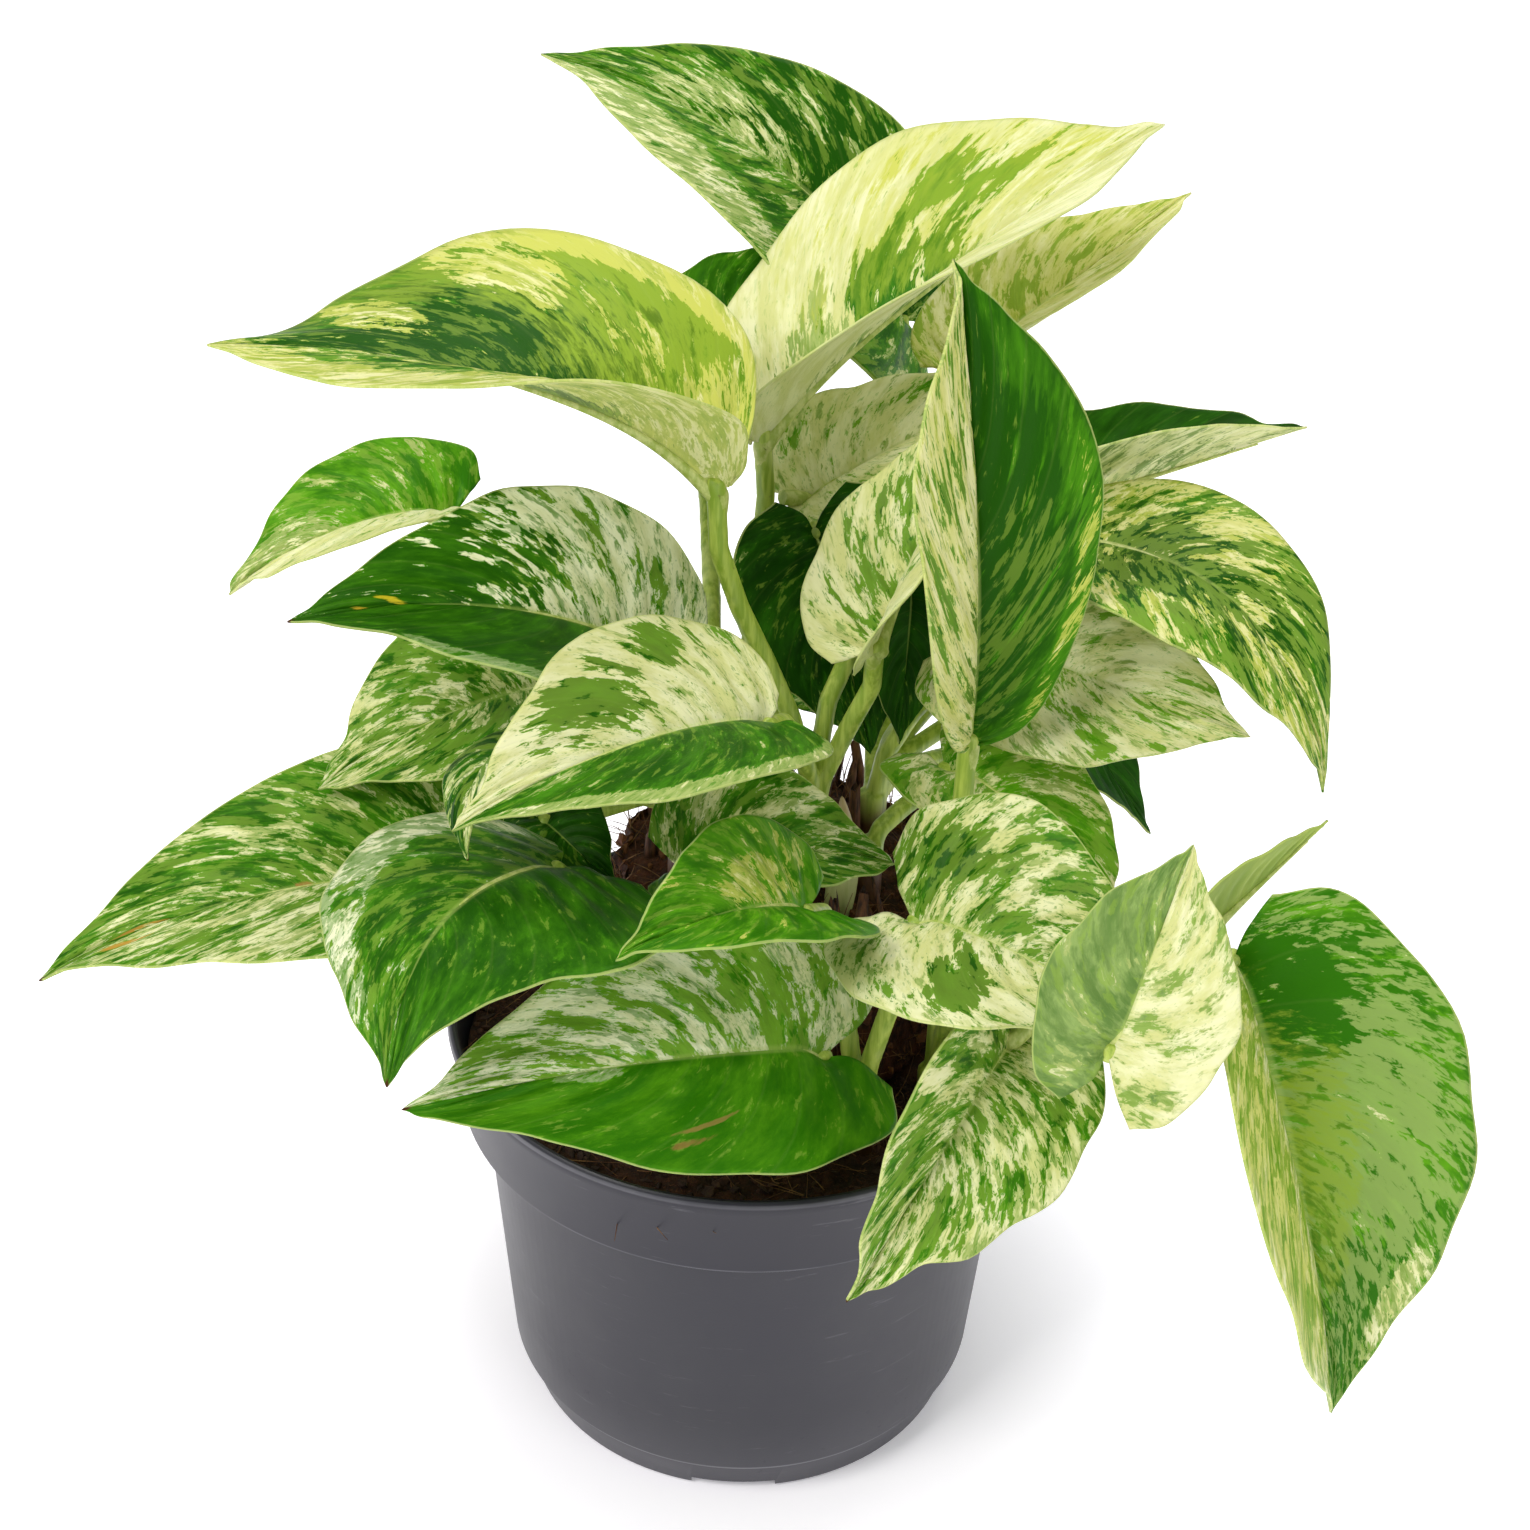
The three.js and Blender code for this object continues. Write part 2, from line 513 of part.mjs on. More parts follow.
const blades = new THREE.Group();
for (const leaf of LEAVES)
  addPart(blades, `leaf_${leaf.name}`, bladeGeometry(leaf), MATERIALS[leaf.look], vec(leaf.base))
    .quaternion.copy(bladeTurn(leaf));
plant.add(blades);

const pottedPothos = new THREE.Group();
pottedPothos.add(pot, plant);
export default pottedPothos;
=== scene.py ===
import math
import random

import bmesh
import bpy
from mathutils import Matrix, Vector, kdtree, noise


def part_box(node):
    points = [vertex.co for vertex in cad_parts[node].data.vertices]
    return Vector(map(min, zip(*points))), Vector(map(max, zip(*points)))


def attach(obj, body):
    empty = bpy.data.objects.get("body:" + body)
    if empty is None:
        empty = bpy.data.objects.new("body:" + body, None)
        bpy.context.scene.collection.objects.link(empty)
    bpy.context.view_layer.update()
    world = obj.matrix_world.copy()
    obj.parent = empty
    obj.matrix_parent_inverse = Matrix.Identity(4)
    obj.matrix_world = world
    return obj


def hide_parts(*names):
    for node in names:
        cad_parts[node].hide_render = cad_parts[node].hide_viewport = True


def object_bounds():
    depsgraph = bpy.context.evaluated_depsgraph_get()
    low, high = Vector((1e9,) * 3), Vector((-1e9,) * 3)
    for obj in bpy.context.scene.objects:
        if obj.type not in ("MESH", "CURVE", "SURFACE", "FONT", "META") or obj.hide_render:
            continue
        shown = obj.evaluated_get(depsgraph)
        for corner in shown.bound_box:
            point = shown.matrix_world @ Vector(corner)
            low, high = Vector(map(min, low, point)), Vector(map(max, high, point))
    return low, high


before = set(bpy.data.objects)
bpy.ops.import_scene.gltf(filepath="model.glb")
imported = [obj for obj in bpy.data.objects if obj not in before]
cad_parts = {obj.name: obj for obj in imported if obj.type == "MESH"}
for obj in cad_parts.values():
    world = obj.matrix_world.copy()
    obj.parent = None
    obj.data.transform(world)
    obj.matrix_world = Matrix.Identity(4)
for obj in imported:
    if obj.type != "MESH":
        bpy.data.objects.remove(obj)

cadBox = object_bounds()
mm = 0.001
print("frame loaded,", len(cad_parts), "nodes")


# Small tools shared by every piece

def colour(hexText):
    parts = [int(hexText[i:i + 2], 16) / 255 for i in (0, 2, 4)]
    return [c / 12.92 if c < 0.04 else ((c + 0.055) / 1.055) ** 2.4 for c in parts] + [1]


def smooth(low, high, x):
    t = min(max((x - low) / (high - low), 0), 1)
    return t * t * (3 - 2 * t)


def rough(x, y, z, scale, octaves):
    return noise.fractal(Vector((x, y, z)) / scale, 1.0, 2.0, octaves)


def mergedCopy(node):
    bm = bmesh.new()
    bm.from_mesh(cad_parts[node].data)
    bmesh.ops.remove_doubles(bm, verts=bm.verts, dist=0.01 * mm)
    return bm


def added(name, data):
    thing = bpy.data.objects.new(name, data)
    bpy.context.scene.collection.objects.link(thing)
    return thing


def meshOf(name, bm):
    mesh = bpy.data.meshes.new(name)
    bm.to_mesh(mesh)
    bm.free()
    return mesh


def makePiece(name, bm, materials, replaced=(), smoothShade=True):
    for face in bm.faces:
        face.smooth = smoothShade
    return finishPiece(added(name, meshOf(name, bm)), materials, replaced)


def finishPiece(piece, materials, replaced=()):
    for each in materials:
        piece.data.materials.append(each)
    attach(piece, "root")
    if replaced:
        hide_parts(*replaced)
    return piece


class Shading:
    # short words for building one material's nodes
    def __init__(self, name):
        self.material = bpy.data.materials.new(name)
        self.material.use_nodes = True
        self.tree = self.material.node_tree
        self.shader = self.tree.nodes["Principled BSDF"]

    def put(self, target, value):
        if isinstance(value, bpy.types.NodeSocket):
            self.tree.links.new(value, target)
        else:
            target.default_value = colour(value) if isinstance(value, str) else value

    def node(self, kind, inputs=(), **settings):
        made = self.tree.nodes.new("ShaderNode" + kind)
        for key, value in settings.items():
            setattr(made, key, value)
        for key, value in dict(inputs).items():
            self.put(made.inputs[key], value)
        return made

    def math(self, operation, a, b=0.0, c=0.0):
        return self.node("Math", {0: a, 1: b, 2: c}, operation=operation).outputs[0]

    def plus(self, a, b):
        return self.math("ADD", a, b)

    def minus(self, a, b):
        return self.math("SUBTRACT", a, b)

    def times(self, a, b):
        return self.math("MULTIPLY", a, b)

    def over(self, a, b):
        return self.math("DIVIDE", a, b)

    def timesPlus(self, a, b, c):
        return self.math("MULTIPLY_ADD", a, b, c)

    def between(self, x, low, high, start=0.0, end=1.0):
        limits = {"Value": x, "From Min": low, "From Max": high, "To Min": start, "To Max": end}
        return self.node("MapRange", limits, interpolation_type="SMOOTHSTEP").outputs[0]

    def mix(self, factor, a, b):
        made = self.node("Mix", data_type="RGBA")
        self.put(made.inputs[0], factor)
        self.put(made.inputs[6], a)
        self.put(made.inputs[7], b)
        return made.outputs[2]

    def onPiece(self):
        return self.node("TexCoord").outputs["Object"]

    def heightOf(self, spot):
        return self.node("SeparateXYZ", {0: spot}).outputs[2]

    def noise(self, spot, scale, detail, roughness, place=(0, 0, 0)):
        stretched = self.node("Mapping", {"Vector": spot, "Scale": scale, "Location": place})
        return self.node("TexNoise", {"Vector": stretched.outputs[0], "Scale": 1.0,
                                      "Detail": detail, "Roughness": roughness})

    def grain(self, spot, scale, detail, roughness, place=(0, 0, 0)):
        return self.noise(spot, scale, detail, roughness, place).outputs[0]

    def bump(self, height, strength, distance):
        return self.node("Bump", {"Height": height, "Strength": strength,
                                  "Distance": distance}).outputs[0]

    def finish(self, **sockets):
        for key, value in sockets.items():
            self.put(self.shader.inputs[key.replace("_", " ")], value)
        return self.material


# Camera, lights and floor

view = {"place": (0.005, -0.381, 0.384), "down": 0.56, "turn": 0.009, "roll": 0.031, "lens": 56.5,
        "sensor": 36}

camera = added("camera", bpy.data.cameras.new("camera"))
camera.matrix_world = (Matrix.Translation(view["place"]) @ Matrix.Rotation(view["turn"], 4, "Z")
                       @ Matrix.Rotation(math.pi / 2 - view["down"], 4, "X")
                       @ Matrix.Rotation(view["roll"], 4, "Z"))
camera.data.lens = view["lens"]
camera.data.sensor_width = view["sensor"]
bpy.context.scene.camera = camera

studio = {
    "lamps": [  # name, place, target, size, watts, tint
        ("window", (-0.75, -0.65, 1.15), (0, 0, 0.12), 0.6, 13, (1, 0.985, 0.95)),
        ("overhead", (0.15, 0.45, 1.25), (0, 0, 0.12), 0.8, 6.5, (1, 1, 1)),
        ("front_fill", (0.8, -0.9, 0.55), (0, 0, 0.12), 0.8, 3.6, (0.97, 0.98, 1)),
    ],
    "skyTint": (0.97, 0.98, 1, 1), "sky": 0.42, "backdrop": 0.95,
    "floor": "f9f7fc", "floorHalf": 6, "glow": (0.2, 0.6), "glowTint": (0.98, 0.96, 1, 1),
    "paintedShadeFadeFrom": 0.04, "paintedShadeFadeTo": 0.12,  # metres from the pot's axis; nearer the pot the floor glows less, painted shade round its foot
}

for name, place, target, size, watts, tint in studio["lamps"]:
    lamp = added(name, bpy.data.lights.new(name, "AREA"))
    lamp.data.size = size
    lamp.data.energy = watts
    lamp.data.color = tint
    lamp.location = place
    lamp.rotation_euler = (Vector(target) - Vector(place)).to_track_quat("-Z", "Y").to_euler()

world = bpy.data.worlds.new("studio")
world.use_nodes = True
sky = world.node_tree
background = sky.nodes["Background"]
background.inputs["Color"].default_value = studio["skyTint"]
seen = sky.nodes.new("ShaderNodeLightPath").outputs["Is Camera Ray"]
brightness = sky.nodes.new("ShaderNodeMapRange")  # a pale backdrop over a dimmer sky light
brightness.inputs["To Min"].default_value = studio["sky"]
brightness.inputs["To Max"].default_value = studio["backdrop"]
sky.links.new(seen, brightness.inputs["Value"])
sky.links.new(brightness.outputs[0], background.inputs["Strength"])
bpy.context.scene.world = world
bpy.context.scene.view_settings.view_transform = "Standard"

floorShading = Shading("studio_floor")
floorSpot = floorShading.onPiece()
outwards = floorShading.node("VectorMath", {0: floorSpot}, operation="LENGTH").outputs["Value"]
# the floor glows, and glows less near the pot: painted shade round the pot's foot
floorMaterial = floorShading.finish(
    Base_Color=studio["floor"], Roughness=0.9, Emission_Color=studio["glowTint"],
    Emission_Strength=floorShading.between(outwards, studio["paintedShadeFadeFrom"], studio["paintedShadeFadeTo"],
                                           *studio["glow"]))
bm = bmesh.new()
bmesh.ops.create_grid(bm, x_segments=2, y_segments=2, size=studio["floorHalf"])
bmesh.ops.translate(bm, vec=(0, 0, cadBox[0].z), verts=bm.verts)
floor = added("floor", meshOf("floor", bm))
floor.data.materials.append(floorMaterial)
print("studio ready")


# Pot: one thin plastic wall turned about the axis, with notches in its foot and drain holes

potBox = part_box("nursery_pot")
pot = {
    "rim": potBox[1].x, "height": potBox[1].z, "wall": 1.3 * mm, "collar": 19 * mm,
    "collarFoot": 57.8 * mm, "bodyTop": 53.4 * mm, "bodyFoot": 48.8 * mm,
    "foot": 45.5 * mm, "footHigh": 8.5 * mm, "footWide": 5 * mm, "lift": 2.6 * mm, "pad": 14 * mm,
    "steps": 144, "notches": 4, "notch": (17 * mm, 2.2 * mm), "drains": 8, "drain": 3.5 * mm,
    "drainRing": 27 * mm, "drainSides": 24, "sharp": math.radians(38),
}

collarLow = pot["height"] - pot["collar"]
potOutside = [
    (0, 0), (pot["pad"], 0), (pot["pad"] + 2 * mm, pot["lift"]),
    (pot["foot"] - pot["footWide"] - mm, pot["lift"]), (pot["foot"] - pot["footWide"], 0),
    (pot["foot"] - 0.8 * mm, 0), (pot["foot"], 0.8 * mm),
    (pot["foot"] + 1.5 * mm, pot["footHigh"] - 1.2 * mm),
    (pot["foot"] + 1.9 * mm, pot["footHigh"] - 0.4 * mm),
    (pot["bodyFoot"] - 0.6 * mm, pot["footHigh"] + 0.2 * mm),
    (pot["bodyFoot"], pot["footHigh"] + 1.2 * mm),
    (pot["bodyTop"] - 0.1 * mm, collarLow - 1.2 * mm),
    (pot["bodyTop"] + 0.5 * mm, collarLow - 0.3 * mm),
    (pot["collarFoot"] - 0.7 * mm, collarLow - 0.1 * mm),
    (pot["collarFoot"], collarLow + 0.6 * mm),
    (pot["rim"] - 0.5 * mm, pot["height"] - 3.2 * mm),
    (pot["rim"], pot["height"] - 1.6 * mm),
    (pot["rim"] - 0.3 * mm, pot["height"] - 0.4 * mm),
    (pot["rim"] - 0.8 * mm, pot["height"]),
]
potInside = [
    (pot["rim"] - pot["wall"] - 0.2 * mm, pot["height"] - 0.2 * mm),
    (pot["rim"] - pot["wall"] - 0.6 * mm, pot["height"] - mm),
    (pot["collarFoot"] - pot["wall"], collarLow + pot["wall"]),
    (pot["bodyTop"] - pot["wall"], collarLow + 0.6 * mm),
    (pot["bodyFoot"] - pot["wall"] - 0.4 * mm, pot["footHigh"] + pot["wall"]),
    (pot["foot"] - pot["wall"] - mm, pot["lift"] + pot["wall"]),
    (pot["pad"] + mm, pot["lift"] + pot["wall"]), (pot["pad"] - mm, pot["wall"]), (0, pot["wall"]),
]


def turned(profile, steps):
    bm = bmesh.new()
    verts = [bm.verts.new((r, 0, z)) for r, z in profile]
    edges = [bm.edges.new(pair) for pair in zip(verts, verts[1:])]
    bmesh.ops.spin(bm, geom=verts + edges, cent=(0, 0, 0), axis=(0, 0, 1), angle=2 * math.pi,
                   steps=steps, use_merge=True)
    bmesh.ops.remove_doubles(bm, verts=bm.verts, dist=0.005 * mm)
    bmesh.ops.recalc_face_normals(bm, faces=bm.faces)
    return bm


def potPlastic():
    s = Shading("charcoal_pot_plastic")
    at = s.onPiece()
    height = s.heightOf(at)
    cloud = s.grain(at, (30, 30, 30), 4, 0.6)
    pores = s.grain(at, (2600, 2600, 2600), 2, 0.5)
    rings = s.grain(at, (25, 25, 500), 2, 0.5)  # drag marks of the mould
    dustNoise = s.grain(at, (420, 420, 420), 5, 0.75)
    dust = s.times(s.between(dustNoise, 0.6, 0.75), s.between(cloud, 0.4, 0.7))
    footDust = s.times(s.between(height, 25 * mm, 0.0), 0.25)
    scuff = s.grain(at, (60, 60, 700), 5, 0.7, (3, 1, 0))
    scuffs = s.times(s.between(scuff, 0.62, 0.7), 0.22)
    tone = s.mix(cloud, "1c1c24", "282731")
    tone = s.mix(s.math("MAXIMUM", s.times(dust, 0.3), footDust), tone, "6b6a70")
    tone = s.mix(scuffs, tone, "7d7c82")
    # painted highlight: a pale line along the collar's foot, the top of the foot and the rim, where
    # these edges would catch the light
    for edge in (collarLow + 0.4 * mm, pot["footHigh"] + 0.8 * mm, pot["height"] - 0.9 * mm):
        off = s.math("ABSOLUTE", s.minus(height, edge))
        edgeHighlight = s.times(s.between(off, 0.6 * mm, 0.2 * mm), s.between(cloud, 0.25, 0.6, 0.15, 0.5))
        tone = s.mix(edgeHighlight, tone, "807f86")
    gloss = s.plus(s.between(cloud, 0.3, 0.7, 0.38, 0.44), s.times(dust, 0.2))
    relief = s.plus(s.times(pores, 0.5), s.times(rings, 0.15))
    return s.finish(Base_Color=tone, Roughness=gloss, Normal=s.bump(relief, 0.25, 0.06 * mm),
                    Specular_IOR_Level=0.37)


potPiece = makePiece("pot_shell", turned(potOutside + potInside, pot["steps"]), [potPlastic()],
                     ["nursery_pot"])
cutter = bmesh.new()
for i in range(pot["notches"]):
    wide, high = pot["notch"]
    bmesh.ops.create_cube(cutter, size=1, matrix=Matrix.Rotation(i * math.pi / 2, 4, "Z")
                          @ Matrix.Translation((0, -pot["foot"], 0))
                          @ Matrix.Diagonal((wide, 3 * pot["footWide"], 2 * high, 1)))
for i in range(pot["drains"]):
    turn = Matrix.Rotation((i + 0.5) * 2 * math.pi / pot["drains"], 4, "Z")
    bmesh.ops.create_cone(cutter, cap_ends=True, segments=pot["drainSides"],
                          radius1=pot["drain"], radius2=pot["drain"], depth=12 * mm,
                          matrix=turn @ Matrix.Translation((pot["drainRing"], 0, 0)))
cutterObject = added("pot_cutter", meshOf("pot_cutter", cutter))
cut = potPiece.modifiers.new("notches", "BOOLEAN")
cut.object = cutterObject
cut.solver = "EXACT"
graph = bpy.context.evaluated_depsgraph_get()
cutPot = bpy.data.meshes.new_from_object(potPiece.evaluated_get(graph))
potPiece.modifiers.clear()
potPiece.data = cutPot
bpy.data.objects.remove(cutterObject)
for polygon in cutPot.polygons:
    polygon.use_smooth = True
cutPot.set_sharp_from_angle(angle=pot["sharp"])
print("pot done")


# Soil and the coir plug that the cuttings were rooted in

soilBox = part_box("potting_soil")
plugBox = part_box("coir_plug")
ground = {
    "level": soilBox[1].z, "bottom": soilBox[0].z, "steps": 180, "rings": 60,
    "bumps": 2.2 * mm, "grains": 1.1 * mm, "crumbs": 900, "crumb": 1.1 * mm,
    "fibres": 260, "fibre": 0.16 * mm, "fibreLong": (4 * mm, 12 * mm),
}
plug = {
    "centre": ((plugBox[0].x + plugBox[1].x) / 2, (plugBox[0].y + plugBox[1].y) / 2),
    "foot": (plugBox[1].x - plugBox[0].x) / 2, "head": 34 * mm, "top": plugBox[1].z,
    "bottom": plugBox[0].z, "steps": 200, "rows": 36, "rings": 24, "ridges": 2.8 * mm,
    "crumbs": 520, "crumb": 1.3 * mm, "fibres": 900, "fibre": 0.17 * mm,
    "fibreLong": (4 * mm, 11 * mm), "sideShare": 0.7,  # of the fibres and crumbs, on its side
}


def soilHeight(x, y):
    edge = smooth(0, 4 * mm, pot["collarFoot"] - 2.2 * mm - math.hypot(x, y))
    bump = (rough(x, y, 0, 16 * mm, 3) * ground["bumps"]
            + rough(x, y, 5, 2.6 * mm, 3) * ground["grains"])
    return ground["level"] - 1.6 * mm + bump * (0.4 + 0.6 * edge) + (1 - edge) * 0.6 * mm


def plugSkin(angle, share):
    # the mound's side from its foot at 0 up to 1, ragged with upright coir fibres
    x, y = math.cos(angle), math.sin(angle)
    radius = plug["foot"] - mm + (plug["head"] - plug["foot"] + mm) * smooth(0, 1, share) ** 1.2
    strands = rough(x * 40 * mm, y * 40 * mm, share * 12 * mm, 2.2 * mm, 2) * 0.9 * mm
    lumps = rough(x * 40 * mm, y * 40 * mm, share * 30 * mm, 13 * mm, 2) * plug["ridges"]
    return radius - 2.4 * mm + strands + lumps


def plugTop(x, y):
    reach = math.hypot(x - plug["centre"][0], y - plug["centre"][1])
    drop = smooth(plug["head"] * 0.45, plug["head"] * 1.02, reach) * 5 * mm
    return plug["top"] - 0.8 * mm - drop + rough(x, y, 9, 5 * mm, 4) * 1.8 * mm


def peat(name, dark, warm, fibre):
    s = Shading(name)
    at = s.onPiece()
    lumps = s.grain(at, (260, 260, 260), 5, 0.7)
    grit = s.grain(at, (1100, 1100, 1100), 3, 0.7, (5, 2, 1))
    strand = s.grain(at, (1500, 1500, 240), 4, 0.6, (1, 4, 2))
    tone = s.mix(s.between(lumps, 0.35, 0.65), dark, warm)
    tone = s.mix(s.times(s.between(strand, 0.55, 0.7), 0.6), tone, fibre)
    tone = s.mix(s.between(grit, 0.42, 0.3, 0, 0.8), tone, "0d0603")
    height = s.plus(lumps, s.times(strand, 0.8))
    return s.finish(Base_Color=tone, Roughness=s.between(grit, 0.3, 0.7, 0.95, 0.7),
                    Normal=s.bump(height, 0.8, 0.6 * mm), Specular_IOR_Level=0.3)


soilPeat = peat("dark_peat", "1c0d06", "3a1c0d", "5a3118")
coirPeat = peat("coir_peat", "241009", "4d2512", "7d4a27")

soilProfile = [(0, ground["bottom"]), (pot["foot"] - 4 * mm, ground["bottom"]),
               (pot["bodyTop"] - 2.2 * mm, collarLow),
               (pot["bodyTop"] - 2.2 * mm, collarLow + 2.5 * mm),
               (pot["collarFoot"] - 1.9 * mm, collarLow + 3 * mm)]
soilReach = pot["collarFoot"] - 1.5 * mm
soilProfile += [(soilReach * (1 - k / ground["rings"]), ground["level"])
                for k in range(ground["rings"] + 1)]
soilMesh = turned(soilProfile, ground["steps"])
for vert in soilMesh.verts:
    if vert.co.z > ground["level"] - 0.1 * mm:
        vert.co.z = soilHeight(vert.co.x, vert.co.y)
makePiece("soil_surface", soilMesh, [soilPeat], ["potting_soil"])

plugHigh = plug["top"] - plug["bottom"]
plugProfile = [(0, plug["bottom"])]
plugProfile += [(plug["foot"], plug["bottom"] + k / plug["rows"] * plugHigh)
                for k in range(plug["rows"] + 1)]
plugProfile += [(plug["foot"] * (1 - k / plug["rings"]), plug["top"])
                for k in range(1, plug["rings"] + 1)]
plugMesh = turned(plugProfile, plug["steps"])
for vert in plugMesh.verts:
    out = math.hypot(vert.co.x, vert.co.y)
    angle = math.atan2(vert.co.y, vert.co.x)
    share = (vert.co.z - plug["bottom"]) / plugHigh
    if share > 0.001 or out > plug["foot"] - mm:
        wide = plugSkin(angle, share) * out / plug["foot"]
        x = plug["centre"][0] + wide * math.cos(angle)
        y = plug["centre"][1] + wide * math.sin(angle)
        z = vert.co.z if share < 0.999 else plugTop(x, y)
        fall = smooth(0.86, 1, share) if share < 0.999 else 0
        z = z + (plugTop(x, y) - z) * fall
        vert.co = (x, y, z)
    else:
        vert.co.x += plug["centre"][0]
        vert.co.y += plug["centre"][1]
makePiece("coir_block", plugMesh, [coirPeat], ["coir_plug"])


def chipMaterial(name, first, second):
    s = Shading(name)
    at = s.onPiece()
    patchy = s.grain(at, (160, 160, 160), 2, 0.5)
    fine = s.grain(at, (900, 900, 900), 3, 0.6)
    tone = s.mix(s.between(patchy, 0.35, 0.65), first, second)
    return s.finish(Base_Color=s.mix(fine, tone, "140a05"), Roughness=0.85,
                    Normal=s.bump(fine, 0.5, 0.3 * mm))


coirChip = chipMaterial("coir_chip", "6d371a", "8f5426")
coirFibre = chipMaterial("coir_fibre", "7a4a28", "a87a4a")
darkChip = chipMaterial("dark_chip", "33190c", "5a3019")


def crumbs(name, count, seed, size, place, material):
    draw = random.Random(seed)
    bm = bmesh.new()
    for _ in range(count):
        spot, lean = place(draw)
        made = bmesh.ops.create_icosphere(bm, subdivisions=1, radius=1)["verts"]
        scale = size * draw.uniform(0.4, 1.3)
        shape = (Matrix.Rotation(draw.uniform(0, 6.3), 4, "Z")
                 @ Matrix.Rotation(draw.uniform(0, 3), 4, "X")
                 @ Matrix.Diagonal((scale * draw.uniform(0.5, 1.6), scale * draw.uniform(0.4, 1.1),
                                    scale * draw.uniform(0.3, 0.8), 1)))
        for vert in made:
            vert.co += Vector([draw.uniform(-0.3, 0.3) for _ in range(3)])
        bmesh.ops.transform(bm, matrix=Matrix.Translation(spot) @ lean @ shape, verts=made)
    makePiece(name, bm, [material], smoothShade=False)


def bareCurve(name, thick, roundness):
    curve = bpy.data.curves.new(name, "CURVE")
    curve.dimensions = "3D"
    curve.bevel_depth = thick
    curve.bevel_resolution = roundness
    curve.use_fill_caps = True
    return curve


def makeCurvePiece(name, curve, material):
    holder = added("holder", curve)
    graph = bpy.context.evaluated_depsgraph_get()
    mesh = bpy.data.meshes.new_from_object(holder.evaluated_get(graph))
    bpy.data.objects.remove(holder)
    finishPiece(added(name, mesh), [material])


strand = {"parts": 4, "bend": 0.35, "taper": 0.6}


def strands(name, count, seed, thick, span, place, material, slot):
    draw = random.Random(seed)
    curve = bareCurve(name, thick, 0)
    for _ in range(count):
        spot, heading = place(draw)
        long = draw.uniform(*span)
        bend = Vector([draw.uniform(-1, 1) for _ in range(3)])
        spline = curve.splines.new("POLY")
        spline.points.add(strand["parts"])
        for k, point in enumerate(spline.points):
            t = k / strand["parts"]
            bent = spot + heading * (t * long) + bend * (long * strand["bend"] * t * t)
            point.co = (*bent, 1)
            point.radius = draw.uniform(0.6, 1.1) * (1 - strand["taper"] * t)
    makeCurvePiece(name, curve, material)


def onSoil(draw):
    while True:
        angle, out = draw.uniform(0, 2 * math.pi), soilReach * math.sqrt(draw.uniform(0, 0.97))
        x, y = out * math.cos(angle), out * math.sin(angle)
        if math.hypot(x - plug["centre"][0], y - plug["centre"][1]) >= plug["foot"] - 2 * mm:
            return Vector((x, y, soilHeight(x, y))), Matrix.Identity(4)


def alongSoil(draw):
    spot, _ = onSoil(draw)
    angle = draw.uniform(0, 2 * math.pi)
    heading = Vector((math.cos(angle), math.sin(angle), draw.uniform(0.0, 0.35)))
    inwards = Vector((-spot.x, -spot.y, 0)) * 8  # fibres by the wall lean away from it
    return spot, (heading + inwards).normalized()


def plugSpot(draw):
    angle = draw.uniform(0, 2 * math.pi)
    if draw.random() < plug["sideShare"]:
        share = draw.uniform(0.0, 0.92)
        out = plugSkin(angle, share)
        z = plug["bottom"] + share * plugHigh
    else:
        out, z = plug["head"] * math.sqrt(draw.random()), None
    x = plug["centre"][0] + out * math.cos(angle)
    y = plug["centre"][1] + out * math.sin(angle)
    return Vector((x, y, plugTop(x, y) if z is None else z)), angle


def onPlug(draw):
    spot, angle = plugSpot(draw)
    return spot, Matrix.Rotation(angle, 4, "Z") @ Matrix.Rotation(math.pi / 2, 4, "Y")


def upPlug(draw):
    spot, angle = plugSpot(draw)
    heading = Vector((math.cos(angle) * 0.25 + draw.uniform(-0.5, 0.5),
                      math.sin(angle) * 0.25 + draw.uniform(-0.5, 0.5), draw.uniform(-0.7, 1)))
    return spot, heading.normalized()


crumbs("soil_crumbs", ground["crumbs"], 3, ground["crumb"], onSoil, darkChip)
crumbs("coir_crumbs", plug["crumbs"], 5, plug["crumb"], onPlug, coirChip)
strands("soil_fibres", ground["fibres"], 7, ground["fibre"], ground["fibreLong"], alongSoil,
        coirFibre, "soil")
strands("coir_fibres", plug["fibres"], 9, plug["fibre"], plug["fibreLong"], upPlug,
        coirFibre, "coir")
print("soil and plug done")


# Stems: each cutting with its leaf stalks, rounded from the frame's facets

stems = {
    "names": sorted(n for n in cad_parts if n.startswith("cutting_")),
    "voxel": 0.42 * mm, "relax": 0.5, "smoothing": 16, "swell": 0.45 * mm,
    "buried": 12 * mm, "withered": (13 * mm, 6 * mm),  # brown below these heights over the coir
}


